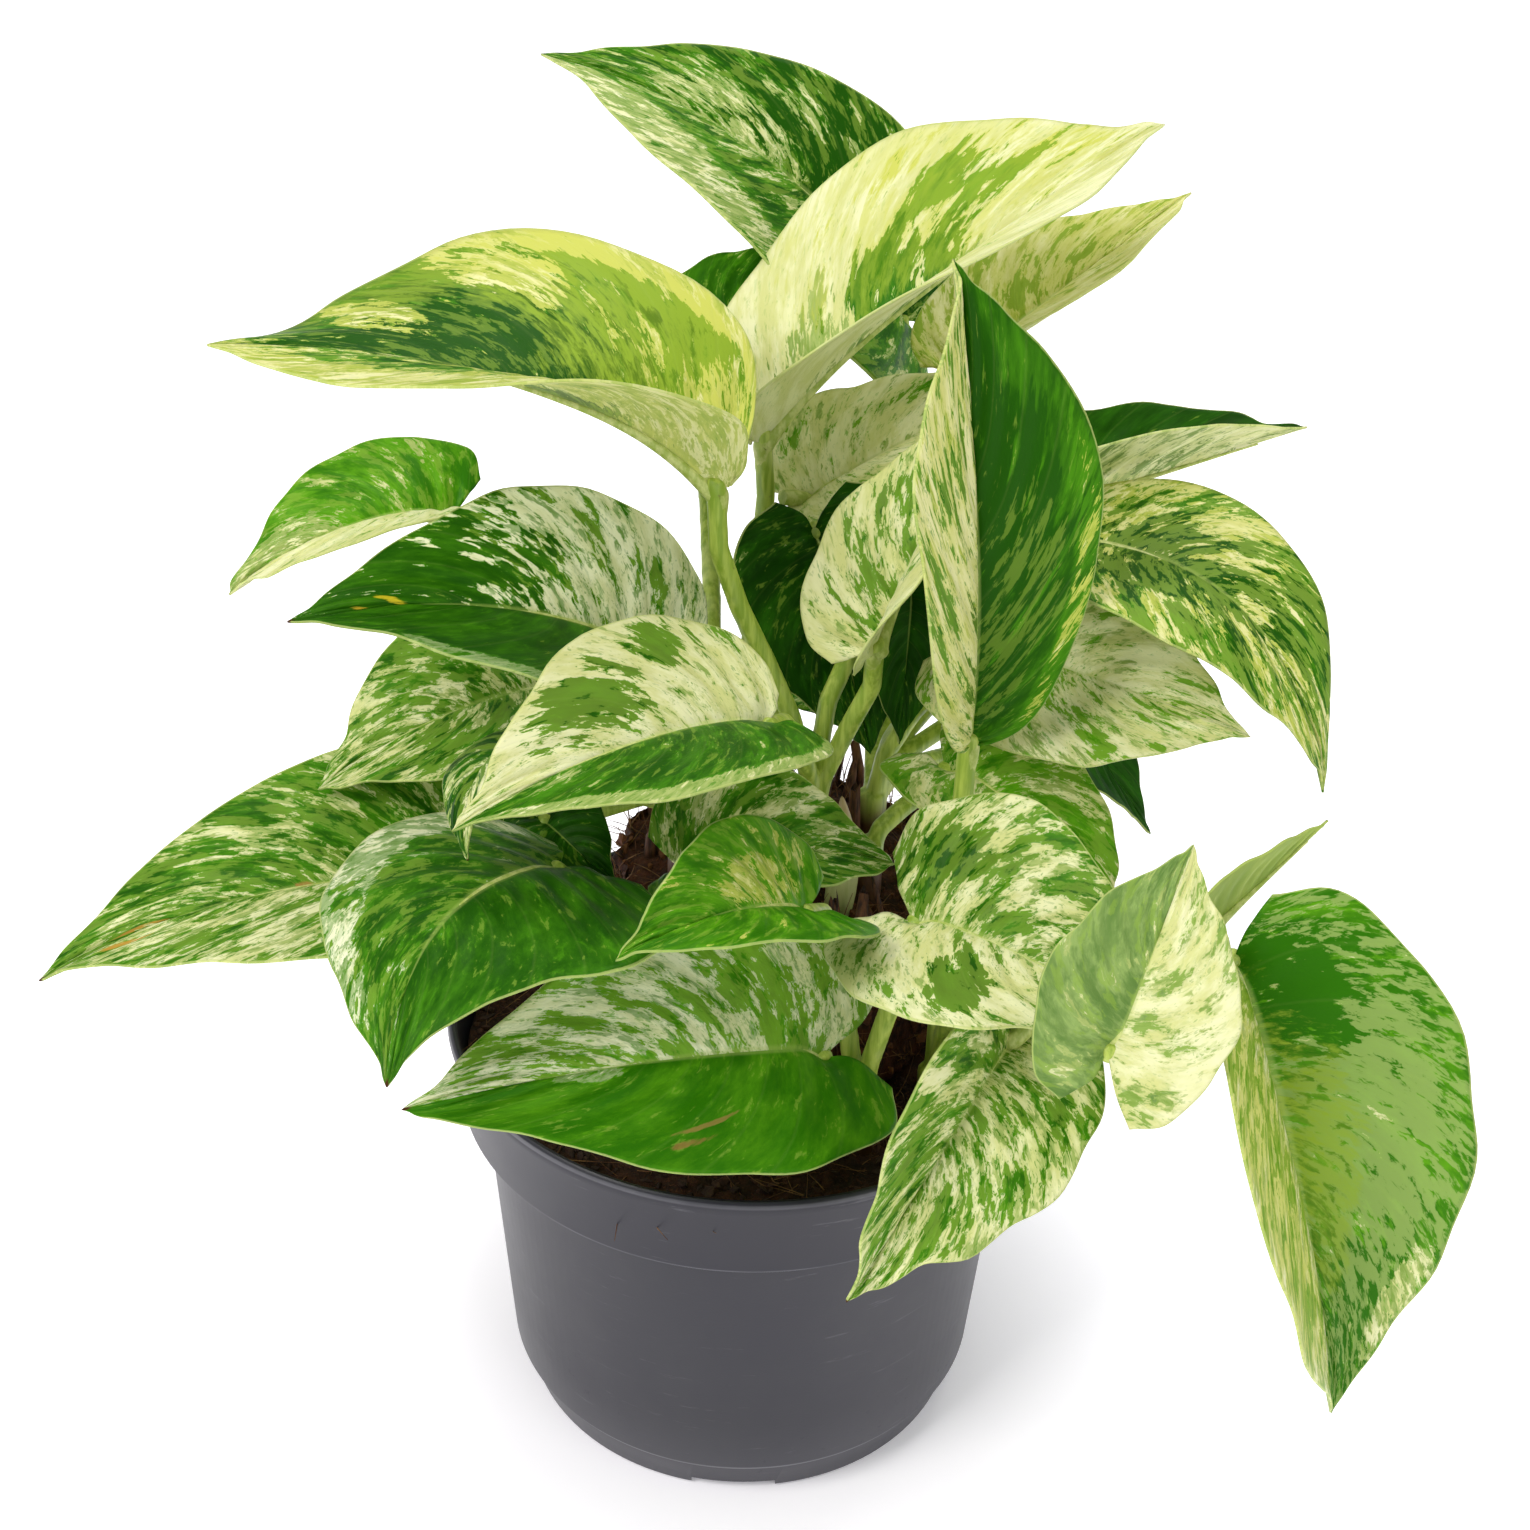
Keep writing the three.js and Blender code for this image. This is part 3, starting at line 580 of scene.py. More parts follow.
def stalkGreen(name, foot):
    s = Shading(name)
    at = s.onPiece()
    height = s.heightOf(at)
    streak = s.grain(at, (900, 900, 60), 3, 0.6)
    blotch = s.grain(at, (90, 90, 40), 3, 0.6, (2, 5, 1))
    speck = s.grain(at, (700, 700, 500), 4, 0.6, (4, 0, 3))
    tone = s.mix(s.between(streak, 0.35, 0.65), "88a432", "b6c757")
    tone = s.mix(s.between(blotch, 0.55, 0.75, 0, 0.7), tone, "d6dc92")
    tone = s.mix(s.between(speck, 0.68, 0.74, 0, 0.5), tone, "6b4a2a")
    wither = s.plus(height, s.times(blotch, 6 * mm))
    green, brown = [foot + each for each in stems["withered"]]
    bark = s.mix(streak, "2e1a0f", "6a452a")
    tone = s.mix(s.between(wither, green, brown), tone, bark)
    return s.finish(Base_Color=tone, Roughness=s.between(streak, 0.3, 0.7, 0.38, 0.5),
                    Normal=s.bump(streak, 0.35, 0.2 * mm), Subsurface_Weight=0.15,
                    Subsurface_Radius=(2 * mm, 2 * mm, 0.6 * mm), Subsurface_Scale=1.0)


for node in stems["names"]:
    green = stalkGreen(node + "_green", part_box(node)[0].z + stems["buried"])
    bm = mergedCopy(node)
    bmesh.ops.recalc_face_normals(bm, faces=bm.faces)
    piece = makePiece(node.replace("cutting", "stems"), bm, [green], [node])
    remesh = piece.modifiers.new("round", "REMESH")
    remesh.mode = "VOXEL"
    remesh.voxel_size = stems["voxel"]
    remesh.use_smooth_shade = True
    relax = piece.modifiers.new("relax", "SMOOTH")
    relax.factor = stems["relax"]
    relax.iterations = stems["smoothing"]
    swell = piece.modifiers.new("swell", "DISPLACE")
    swell.strength = stems["swell"]
    swell.mid_level = 0
print("stems done")


# The new leaf, still rolled up, and the dried stubs round the cuttings

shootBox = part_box("new_shoot")
shoot = {
    "radius": 3.3 * mm, "low": shootBox[0].z, "high": shootBox[1].z, "steps": 24,
    "place": ((shootBox[0].x + shootBox[1].x) / 2, (shootBox[0].y + shootBox[1].y) / 2),
    "outline": [(0, 0), (0.7, 0), (0.85, 0.1), (0.95, 0.3), (0.92, 0.5), (0.7, 0.72),
                (0.4, 0.88), (0.14, 0.97), (0, 1)],  # shares of its radius and its height
    "twist": 2.5, "groove": 0.16, "bow": 1.2 * mm,
}
shootHigh = shoot["high"] - shoot["low"]
bm = turned([(r * shoot["radius"], shoot["low"] + z * shootHigh) for r, z in shoot["outline"]],
            shoot["steps"])
for vert in bm.verts:
    share = (vert.co.z - shoot["low"]) / shootHigh
    turn = math.atan2(vert.co.y, vert.co.x) + share * shoot["twist"]
    groove = 1 - shoot["groove"] * smooth(0.75, 1, math.cos(turn))
    vert.co.x = vert.co.x * groove + shoot["place"][0] + shoot["bow"] * math.sin(share * 3)
    vert.co.y = vert.co.y * groove + shoot["place"][1]


def shootSheath():
    s = Shading("rolled_leaf_sheath")
    at = s.onPiece()
    height = s.heightOf(at)
    streak = s.grain(at, (900, 900, 80), 3, 0.6)
    tone = s.mix(streak, "8a9a45", "c3c184")
    up = s.between(height, shoot["low"] + 0.5 * shootHigh, shoot["high"])
    tone = s.mix(up, tone, "a58f62")
    return s.finish(Base_Color=tone, Roughness=0.5, Normal=s.bump(streak, 0.4, 0.2 * mm))


piece = makePiece("new_leaf_rolled", bm, [shootSheath()], ["new_shoot"])
soften = piece.modifiers.new("soften", "SUBSURF")
soften.levels = 1
soften.render_levels = 1

stubs = {
    "count": 26, "radius": (0.8 * mm, 2.0 * mm), "height": (6 * mm, 15 * mm), "sides": 7,
    "lean": 0.3, "taper": 0.55, "sunk": 3 * mm,
}


def dryWood():
    s = Shading("dried_stub")
    at = s.onPiece()
    streak = s.grain(at, (1400, 1400, 110), 4, 0.65)
    blotch = s.grain(at, (140, 140, 90), 2, 0.5)
    tone = s.mix(s.between(streak, 0.35, 0.65), "2a150c", "6e4326")
    tone = s.mix(s.between(blotch, 0.55, 0.7, 0, 0.6), tone, "9a7147")
    return s.finish(Base_Color=tone, Roughness=0.8, Normal=s.bump(streak, 0.8, 0.4 * mm))


draw = random.Random(21)
bm = bmesh.new()
for _ in range(stubs["count"]):
    angle, out = draw.uniform(0, 6.3), plug["head"] * (0.2 + 0.75 * math.sqrt(draw.random()))
    x, y = plug["centre"][0] + out * math.cos(angle), plug["centre"][1] + out * math.sin(angle)
    radius, high = draw.uniform(*stubs["radius"]), draw.uniform(*stubs["height"])
    lean = Matrix.Rotation(draw.uniform(-stubs["lean"], stubs["lean"]), 4, "X")
    lean = lean @ Matrix.Rotation(draw.uniform(-stubs["lean"], stubs["lean"]), 4, "Y")
    made = bmesh.ops.create_cone(bm, cap_ends=True, segments=stubs["sides"], radius1=radius,
                                 radius2=radius * stubs["taper"], depth=high)["verts"]
    for vert in made:
        if vert.co.z > 0:
            vert.co.z += draw.uniform(-0.3, 0.25) * high
            vert.co.x += draw.uniform(-0.2, 0.2) * radius
        else:
            vert.co.z -= stubs["sunk"]
    up = Matrix.Translation((x, y, plugTop(x, y) + high / 2 - mm))
    bmesh.ops.transform(bm, matrix=up @ lean, verts=made)
makePiece("dried_stubs", bm, [dryWood()])
print("shoot and stubs done")


# Leaves. across runs from -1 at the left margin to 1 at the right, seen from above with the tip
# ahead, and along runs from 0 at the stalk to 1 at the tip.

blade = {
    "thickness": 0.6 * mm, "finished": 0.45 * mm, "columns": 48, "rows": 64,
    "cageColumns": 7, "cageRows": 8, "fullSize": 60 * mm,  # shorter blades are waved less
    "quilt": 0.34 * mm, "wave": 1.5 * mm, "frill": 1.4 * mm, "groove": 0.35 * mm,
    "veins": 9, "sweep": 0.5, "curl": 1.3, "stalkSides": 6, "funnel": (0.5 * mm, 3 * mm, 0),
}
rib = {
    "points": 25, "reach": 7.2, "roundness": 3, "start": 1.52 * mm, "end": 0.22 * mm,
    "knuckle": 1.9 * mm, "knuckleFoot": 1.425 * mm,  # radii, and below how far down the stalk
    "knuckleTop": 2.4 * mm, "knuckleLow": 7 * mm, "sunk": 0.22 * mm,
}
greens = {
    "deep": ("103b02", "2a640a"), "mid": ("1c5004", "44830f"), "bright": ("2c6c05", "5b9b14"),
    "sage": ("5c7d3a", "8fa85e"), "lime": ("7c9a28", "a6b845"),
}
creams = {  # the two creams, then the two shades where only one layer is pale
    "cream": ("cbcd88", "e2e2b2", "7b9844", "a5b46a"),
    "yellow": ("cbcb78", "e0dea2", "94a83a", "b9c05a"),
    "white": ("d0d3a0", "e8eac6", "6f9148", "9fb47c"),
}

# pale is the share of cream in the left and the right half, and veil the share of the second
# cell layer, which greys the green towards sageTone by the amount sage and yellows the cream.
# patches, veils, glows and darks are (across, along, half width, half length, amount) and add to
# pale, to veil, to a yellow-green glow painted for light shining through the blade and to the
# depth of the green. blots are (across, along, half length, half width, turn, colour). funnel is
# how far the blade's base is drawn down its stalk, how far up the blade that reaches, and how
# much it narrows the base.

looks = {
    "top": {"pale": (0.36, 0.34), "seed": 1,
            "patches": [(-0.85, 0.75, 0.3, 0.35, 0.35), (0.3, 0.7, 0.4, 0.15, 0.25),
                        (0.6, 0.25, 0.6, 0.3, -0.3)],
            "darks": [(0.5, 0.3, 0.6, 0.4, 0.6)]},
    "crown": {"pale": (0.78, 0.9), "seed": 2, "green": "bright", "veil": (0.9, 1.0),
              "funnel": (1.5 * mm, 13 * mm, 0.4),
              "patches": [(-0.2, 0.5, 0.26, 0.15, -0.8), (-0.65, 0.62, 0.25, 0.12, -0.4),
                          (-0.35, 0.15, 0.8, 0.2, 0.3)],
              "glows": [(-0.5, 0.62, 0.4, 0.3, 0.7), (-0.92, 0.55, 0.2, 0.3, 0.5)],
              "veils": [(-0.15, 0.45, 0.35, 0.25, -0.7)], "darks": [(-0.15, 0.45, 0.3, 0.2, 0.6)]},
    "far_right": {"pale": (0.6, 0.7), "seed": 3, "green": "lime", "cream": "yellow",
                  "glows": [(-0.4, 0.6, 0.6, 0.4, 0.5)]},
    "far_left": {"pale": (0.15, 0.85), "seed": 4},
    "wide_left": {"pale": (0.42, 0.3), "seed": 5, "cream": "yellow",
                  "funnel": (2 * mm, 11 * mm, 0.4),
                  "patches": [(0.25, 0.65, 0.45, 0.35, -0.5), (0.6, 0.7, 0.3, 0.06, 0.7),
                              (0.65, 0.48, 0.25, 0.08, 0.55), (0.97, 0.25, 0.12, 0.25, 0.5),
                              (0.3, 0.06, 0.6, 0.12, 0.3), (0, 1.0, 1, 0.08, 0.6),
                              (-0.5, 0.2, 0.8, 0.3, 0.4), (-0.95, 0.6, 0.2, 0.5, 0.5)],
                  "veils": [(0.7, 0.3, 0.4, 0.3, 0.3)],
                  "glows": [(0.5, 0.2, 0.6, 0.28, 1.0), (0.9, 0.45, 0.2, 0.3, 0.6)],
                  "darks": [(0.25, 0.65, 0.5, 0.4, 1.2)]},
    "tall": {"pale": (0.6, 0.08), "seed": 6, "sage": 0.4, "veil": (0.68, 0.1),
             "cream": "yellow", "funnel": (1.5 * mm, 19 * mm, 0.7),
             "patches": [(0.9, 0.3, 0.14, 0.3, 0.4)], "veils": [(0.35, 0.35, 0.35, 0.2, 0.35)],
             "darks": [(0.2, 0.6, 0.5, 0.4, 0.9)]},
    "right_dark": {"pale": (0.05, 0.6), "seed": 7, "green": "deep"},
    "right_drooping": {"pale": (0.52, 0.48), "seed": 8, "sage": 0.6, "cream": "yellow",
                       "patches": [(0.05, 0.4, 0.45, 0.3, -0.45), (-0.6, 0.68, 0.5, 0.12, -0.5)],
                       "darks": [(0.0, 0.45, 0.6, 0.35, 0.8)]},
    "right_middle": {"pale": (0.68, 0.62), "seed": 9, "green": "bright"},
    "right_pointed": {"pale": (0.0, 0.0), "seed": 10, "green": "deep"},
    "centre_right": {"pale": (0.45, 0.5), "seed": 11, "green": "bright"},
    "back_pale": {"pale": (0.7, 0.75), "seed": 12, "green": "bright"},
    "centre_pale": {"pale": (0.7, 0.75), "seed": 13, "funnel": (mm, 12 * mm, 0.5),
                    "patches": [(-0.3, 0.4, 0.4, 0.3, -0.2)]},
    "centre_dark": {"pale": (0.1, 0.18), "seed": 14, "green": "deep"},
    "centre_dark_low": {"pale": (0.0, 0.05), "seed": 15, "green": "deep"},
    "far_left_small": {"pale": (0.7, 0.32), "seed": 16, "green": "bright",
                       "patches": [(0, 0.9, 1, 0.3, 0.4)]},
    "left_middle": {"pale": (0.06, 0.62), "seed": 17, "cream": "white", "veil": (0, 0.6),
                    "patches": [(0.5, 0.85, 0.9, 0.33, -0.9), (-0.95, 0.45, 0.1, 0.3, 0.6)],
                    "blots": [(0.3, 0.84, 0.01, 0.06, 0, "d8c02c"),
                              (0.1, 0.9, 0.008, 0.05, 0, "dcb634")],
                    "veils": [(0.5, 0.85, 0.9, 0.33, -0.6)], "brownTip": 1},
    "left_behind": {"pale": (0.5, 0.5), "seed": 18},
    "left_narrow": {"pale": (0.5, 0.4), "seed": 19, "green": "deep", "brownTip": 1},
    "front_pale": {"pale": (0.22, 0.72), "seed": 20,
                   "patches": [(0.6, 0.58, 0.3, 0.14, -0.6), (0.75, 0.3, 0.2, 0.08, -0.35),
                               (-0.95, 0.5, 0.1, 0.6, 0.5), (-0.3, 0.85, 0.4, 0.15, 0.3)]},
    "left_low": {"pale": (0.48, 0.42), "seed": 21,
                 "blots": [(0.15, 0.86, 0.04, 0.012, 0.5, "b98a3c"),
                           (-0.5, 0.84, 0.05, 0.014, -0.3, "c08c3c"),
                           (0.0, 0.6, 0.02, 0.01, 0, "a87a40")], "brownTip": 1},
    "low_dark": {"pale": (0.06, 0.2), "seed": 22, "cream": "white", "veil": (0.12, 0.36),
                 "brownTip": 1,
                 "patches": [(0.9, 0.35, 0.2, 0.5, 0.45), (-0.3, 0.97, 0.6, 0.15, 0.25)]},
    "front_small": {"pale": (0.22, 0.3), "seed": 23, "green": "bright", "cream": "yellow",
                    "patches": [(0.3, 0.35, 0.35, 0.3, 0.25)]},
    "centre_low": {"pale": (0.42, 0.4), "seed": 24},
    "front_green": {"pale": (0.0, 0.52), "seed": 25, "green": "bright", "cream": "white",
                    "veil": (0.12, 0.6), "brownTip": 1,
                    "patches": [(-0.12, 0.72, 0.12, 0.08, 0.7)],
                    "blots": [(-0.6, 0.42, 0.06, 0.005, -0.5, "8f7a3e"),
                              (-0.78, 0.45, 0.035, 0.007, -0.5, "8a6d38")]},
    "front_right_pale": {"pale": (0.55, 0.68), "seed": 26,
                         "patches": [(-0.5, 0.15, 0.4, 0.15, -0.3), (0.5, 0.45, 0.3, 0.1, -0.6),
                                     (0.4, 0.8, 0.3, 0.1, -0.35)]},
    "front_hanging": {"pale": (0.52, 0.5), "seed": 27, "brownTip": 1},
    "right_twisted": {"pale": (0.3, 0.68), "seed": 28, "green": "sage"},
    "right_bud": {"pale": (0.1, 0.1), "seed": 29, "green": "lime"},
    "right_large": {"pale": (0.2, 0.52), "seed": 30, "green": "bright", "sage": 0.75,
                    "sageTone": "93ab5c", "veil": (0.4, 0.5),
                    "patches": [(-0.5, 0.15, 0.4, 0.2, -0.4), (-0.9, 0.72, 0.12, 0.12, 0.5)],
                    "veils": [(-0.5, 0.45, 0.35, 0.25, 0.3), (-0.25, 0.15, 0.3, 0.16, -0.8)],
                    "glows": [(-0.2, 0.55, 0.22, 0.25, 0.7), (0.6, 0.4, 0.6, 0.5, 0.8)],
                    "darks": [(-0.3, 0.14, 0.35, 0.14, 1.6), (-0.6, 0.8, 0.5, 0.2, 0.8)]},
    "under_front": {"pale": (0.1, 0.3), "seed": 31, "green": "deep"},
    "under_centre": {"pale": (0.1, 0.1), "seed": 32, "green": "deep"},
    "back_low_left": {"pale": (0.5, 0.45), "seed": 33},
    "back_low_middle": {"pale": (0.25, 0.35), "seed": 34},
    "back_low_right": {"pale": (0.55, 0.5), "seed": 35, "green": "bright"},
    "back_high_left": {"pale": (0.2, 0.3), "seed": 36, "green": "deep"},
    "back_high_right": {"pale": (0.7, 0.62), "seed": 37},
}


def stalkEnds():
    # every corner of the stalks, to find the end that a blade grows from
    points = []
    for node in stems["names"]:
        bm = mergedCopy(node)
        points += [v.co.copy() for v in bm.verts]
        bm.free()
    tree = kdtree.KDTree(len(points))
    for k, point in enumerate(points):
        tree.insert(point, k)
    tree.balance()
    return tree


def pairsOf(ring):
    # the two skins' vertices that face each other across the blade's thickness
    gaps = sorted((abs((p.co - q.co).length - blade["thickness"]), i, j)
                  for i, p in enumerate(ring) for j, q in enumerate(ring) if i < j)
    used, pairs = set(), []
    for _, i, j in gaps:
        if i not in used and j not in used:
            used |= {i, j}
            pairs.append((ring[i], ring[j]))
    return pairs


def joined(first, second):
    return any(edge.other_vert(v) in second for v in first for edge in v.link_edges)


def marginToMargin(pairs):
    near = [[k for k, other in enumerate(pairs) if k != i and joined(pair, other)]
            for i, pair in enumerate(pairs)]
    order = [min(range(len(pairs)), key=lambda i: len(near[i]))]
    while len(order) < len(pairs):
        order.append(next(k for k in near[order[-1]] if k not in order))
    return [pairs[k] for k in order]


def cageOf(node, ends):
    bm = mergedCopy(node)
    tip = max(bm.verts, key=lambda v: len(v.link_edges))
    level, edge = {tip: 0}, [tip]
    while edge:
        ahead = []
        for vert in edge:
            for link in vert.link_edges:
                other = link.other_vert(vert)
                if other not in level:
                    level[other] = level[vert] + 1
                    ahead.append(other)
        edge = ahead
    rows = []
    for step in range(1, blade["cageRows"] + 1):
        row = marginToMargin(pairsOf([v for v in bm.verts if level[v] == step]))
        if rows and not joined(rows[-1][0], row[0]):
            row.reverse()
        rows.append(row)
    cage = [[(p.co + q.co) / 2 for p, q in row] for row in reversed(rows)]
    tipSpot = tip.co.copy()
    bm.free()
    middle = blade["cageColumns"] // 2
    base = cage[0][middle]
    near = [point for point, _, _ in ends.find_n(base, 4)]
    end = sum(near, Vector()) / len(near)
    lower = [point for point, _, _ in ends.find_n(end, blade["stalkSides"] * 2)[blade["stalkSides"]:]]
    stalkWay = (sum(lower, Vector()) / len(lower) - end).normalized()
    right = (tipSpot - base).cross(base - end)
    if (cage[3][-1] - cage[3][0]).dot(right) < 0:
        for row in cage:
            row.reverse()
    return cage, tipSpot, end, stalkWay


def curveThrough(a, b, c, d, t):
    return 0.5 * (2 * b + (c - a) * t + (2 * a - 5 * b + 4 * c - d) * t * t
                  + (3 * b - a - 3 * c + d) * t * t * t)


def onPath(points, at):
    k = min(int(at), len(points) - 2)
    before = points[k - 1] if k > 0 else 2 * points[0] - points[1]
    after = points[k + 2] if k + 2 < len(points) else 2 * points[-1] - points[-2]
    return curveThrough(before, points[k], points[k + 1], after, at - k)


def bladeSheet(cage, tip):
    # a smooth surface through the cage: sheet(across, row) with a crease along the midrib
    middle = blade["cageColumns"] // 2
    halves = [[row[middle::-1] for row in cage], [row[middle:] for row in cage]]
    kept = {}

    def sheet(across, row):
        key = round(across, 5)
        if key not in kept:
            half = halves[0] if across < 0 else halves[1]
            kept[key] = [onPath(points, abs(across) * middle) for points in half] + [tip]
        return onPath(kept[key], row)

    return sheet


def rowShares(cage, tip):
    steps = [0.0]
    rows = cage + [[tip] * blade["cageColumns"]]
    for low, high in zip(rows, rows[1:]):
        gap = sum((b - a).length for a, b in zip(low, high)) / blade["cageColumns"]
        steps.append(steps[-1] + gap)
    return [s / steps[-1] for s in steps], steps[-1]


marble = {  # grain sizes in millimetres, across and along
    "stray": (1 / 0.3, 1 / 0.5), "patch": (8, 5), "streak": (2.7, 1.6), "second": (3.8, 2.4),
    "fleck": (1.1, 0.75), "tone": (9, 7), "cells": (1 / 1.6, 1 / 1.6), "push": (3.0, 1.6, 0),
    "paleFrom": 0.741, "paleTo": 0.758, "upperFrom": 0.635, "upperTo": 0.71,
    "paintedGlow": ("8aa530", "c4c75e"), "margin": "bcc878", "vein": "a9bd62", "brown": "4a2a16",
    "back": "dfe8a0", "backMix": 0.17,  # a blade's underside is paler, partly its own colour and partly painted light that lifts the shade on it
    "scatter": (mm, 1.2 * mm, 0.3 * mm),
}


def flake(kind):
    wide, long = marble[kind]
    return 1 / wide, 1 / long, 1


def nearness(s, a, b, ragged):
    # 0 at the middle of an oval spot and 1 at its edge, made uneven by the grain
    return s.plus(s.timesPlus(a, a, ragged), s.times(b, b))


def leafShares(s, look, half, across, along, ragged):
    # how much of each tone the look asks for at every spot of the blade
    halves = {"patches": look["pale"], "veils": look.get("veil", look["pale"]),
              "glows": (0.0, 0.0), "darks": (0.0, 0.0)}
    shares = {}
    for key, (left, right) in halves.items():
        share = s.timesPlus(half, right - left, left)
        for x, y, wide, long, amount in look.get(key, ()):
            aside = s.over(s.minus(across, x), wide)
            ahead = s.over(s.minus(along, y), long)
            far = nearness(s, aside, ahead, ragged)
            share = s.plus(share, s.between(far, 1.5, 0.4, 0, amount))
        shares[key] = share
    return shares


def withBlots(s, look, skin, across, along, slim, ragged):
    for x, y, long, wide, turn, shade in look.get("blots", ()):
        dx = s.times(s.minus(across, x), slim)
        dy = s.minus(along, y)
        ahead = s.plus(s.times(dx, math.sin(turn)), s.times(dy, math.cos(turn)))
        aside = s.minus(s.times(dx, math.cos(turn)), s.times(dy, math.sin(turn)))
        far = nearness(s, s.over(aside, wide), s.over(ahead, long), ragged)
        skin = s.mix(s.between(far, 1.3, 0.1, 0, 0.8), skin, shade)
    return skin


def leafShading(name, look, width, length, under):
    s = Shading(name)
    uv = s.node("SeparateXYZ", {0: s.node("UVMap", uv_map="blade").outputs[0]})
    across = s.timesPlus(uv.outputs[0], 2.0, -1.0)
    along = uv.outputs[1]
    out = s.math("ABSOLUTE", across)
    half = s.math("GREATER_THAN", across, 0.0)
    depth = s.timesPlus(half, 7.0, look["seed"] * 3.7)
    lean = s.times(s.math("POWER", out, blade["curl"]), blade["sweep"] * width / length)
    swept = s.minus(along, lean)  # veins run forwards as they leave the midrib
    flat = s.node("CombineXYZ", {0: s.times(across, width / mm),
                                 1: s.times(swept, length / mm), 2: depth}).outputs[0]
    stray = s.noise(flat, flake("stray"), 2, 0.5).outputs[1]
    push = s.node("VectorMath", {0: stray, 1: (0.5, 0.5, 0.5)}, operation="SUBTRACT").outputs[0]
    push = s.node("VectorMath", {0: push, 1: marble["push"]}, operation="MULTIPLY").outputs[0]
    lane = s.node("VectorMath", {0: flat, 1: push}, operation="ADD").outputs[0]

    patch = s.grain(lane, flake("patch"), 2, 0.5)
    streak = s.grain(lane, flake("streak"), 4, 0.65, (3, 1, 0))
    second = s.grain(lane, flake("second"), 4, 0.65, (7, 3, 4))
    fleck = s.grain(lane, flake("fleck"), 2, 0.6, (5, 8, 0))
    tone = s.grain(flat, flake("tone"), 4, 0.6, (9, 2, 0))
    tone = s.timesPlus(tone, 0.7, s.times(second, 0.3))
    ragged = s.timesPlus(s.plus(streak, patch), 4.0, -4.0)
    shares = leafShares(s, look, half, across, along, ragged)
    field = s.plus(s.times(patch, 0.5), s.times(streak, 0.42))
    field = s.timesPlus(fleck, 0.16, field)
    level = s.timesPlus(shares["patches"], 0.42, field)
    pale = s.between(level, marble["paleFrom"], marble["paleTo"])
    upper = s.timesPlus(shares["veils"], 0.4, second)
    upper = s.between(upper, marble["upperFrom"], marble["upperTo"])
    flecks = s.times(s.between(fleck, 0.6, 0.64), s.between(level, 0.95, 0.76, 0.2, 1))

    darkGreen, lightGreen = greens[look.get("green", "mid")]
    lowCream, highCream, lowLime, highLime = creams[look.get("cream", "cream")]
    edge = s.between(level, 0.6, 0.75, -0.04, 0.14)  # patches are lighter towards their rims
    deep = s.plus(s.timesPlus(shares["darks"], -0.3, tone), edge)
    green = s.mix(s.between(deep, 0.34, 0.74), darkGreen, lightGreen)
    sage = s.mix(look.get("sage", 0.45), green, look.get("sageTone", "87a63c"))
    cream = s.mix(s.between(tone, 0.4, 0.6), lowCream, highCream)
    lime = s.mix(s.between(streak, 0.35, 0.65), lowLime, highLime)
    cream = s.mix(s.between(level, 0.83, 0.755, 0, 0.45), cream, highLime)
    skin = s.mix(pale, s.mix(upper, green, sage), s.mix(upper, lime, cream))
    skin = s.mix(s.times(flecks, s.times(pale, 0.85)), skin, lightGreen)
    # glows paint a yellow-green glow where light would shine through the blade
    if look.get("glows"):
        paintedGlow = s.mix(pale, *marble["paintedGlow"])
        shown = s.times(shares["glows"], s.between(second, 0.35, 0.55, 0.4, 1))
        skin = s.mix(shown, skin, paintedGlow)
    margin = s.between(s.timesPlus(streak, 0.01, out), 0.992, 1.0, 0, 0.6)
    skin = s.mix(margin, skin, marble["margin"])

    ribLine = s.between(out, 0.045, 0.012)
    veinWave = s.math("FRACT", s.times(swept, blade["veins"]))
    veinLine = s.between(s.math("ABSOLUTE", s.minus(veinWave, 0.5)), 0.06, 0.0)
    skin = s.mix(s.times(ribLine, 0.35), skin, marble["vein"])
    skin = s.mix(s.times(veinLine, 0.04), skin, marble["vein"])
    skin = withBlots(s, look, skin, across, along, width / length, ragged)
    if look.get("brownTip"):
        skin = s.mix(s.between(along, 0.982, 0.992), skin, marble["brown"])
    cells = s.grain(flat, flake("cells"), 2, 0.5)
    s.finish(Subsurface_Weight=0.1, Subsurface_Radius=marble["scatter"], Subsurface_Scale=1.0)
    if under:
        # the underside is mixed towards a pale tone: partly its own paler colour, partly painted
        # light lifting its shade
        skin = s.mix(marble["backMix"], skin, marble["back"])
        return s.finish(Base_Color=skin, Roughness=0.62, Normal=s.bump(cells, 0.3, 0.2 * mm),
                        Specular_IOR_Level=0.25)
    relief = s.plus(s.times(cells, 0.5), s.times(veinLine, -0.4))
    relief = s.plus(relief, s.times(streak, 0.5))
    return s.finish(Base_Color=skin, Roughness=s.between(tone, 0.3, 0.7, 0.34, 0.46),
                    Normal=s.bump(relief, 0.45, 0.2 * mm), Specular_IOR_Level=0.09,
                    Specular_Tint=(0.85, 1, 0.6, 1))


def ribShading():
    s = Shading("pale_midrib")
    at = s.onPiece()
    streak = s.grain(at, (700, 700, 400), 3, 0.6)
    tone = s.mix(s.between(streak, 0.35, 0.65), "9db04a", "c8cf80")
    return s.finish(Base_Color=tone, Roughness=0.5, Normal=s.bump(streak, 0.2, 0.1 * mm))


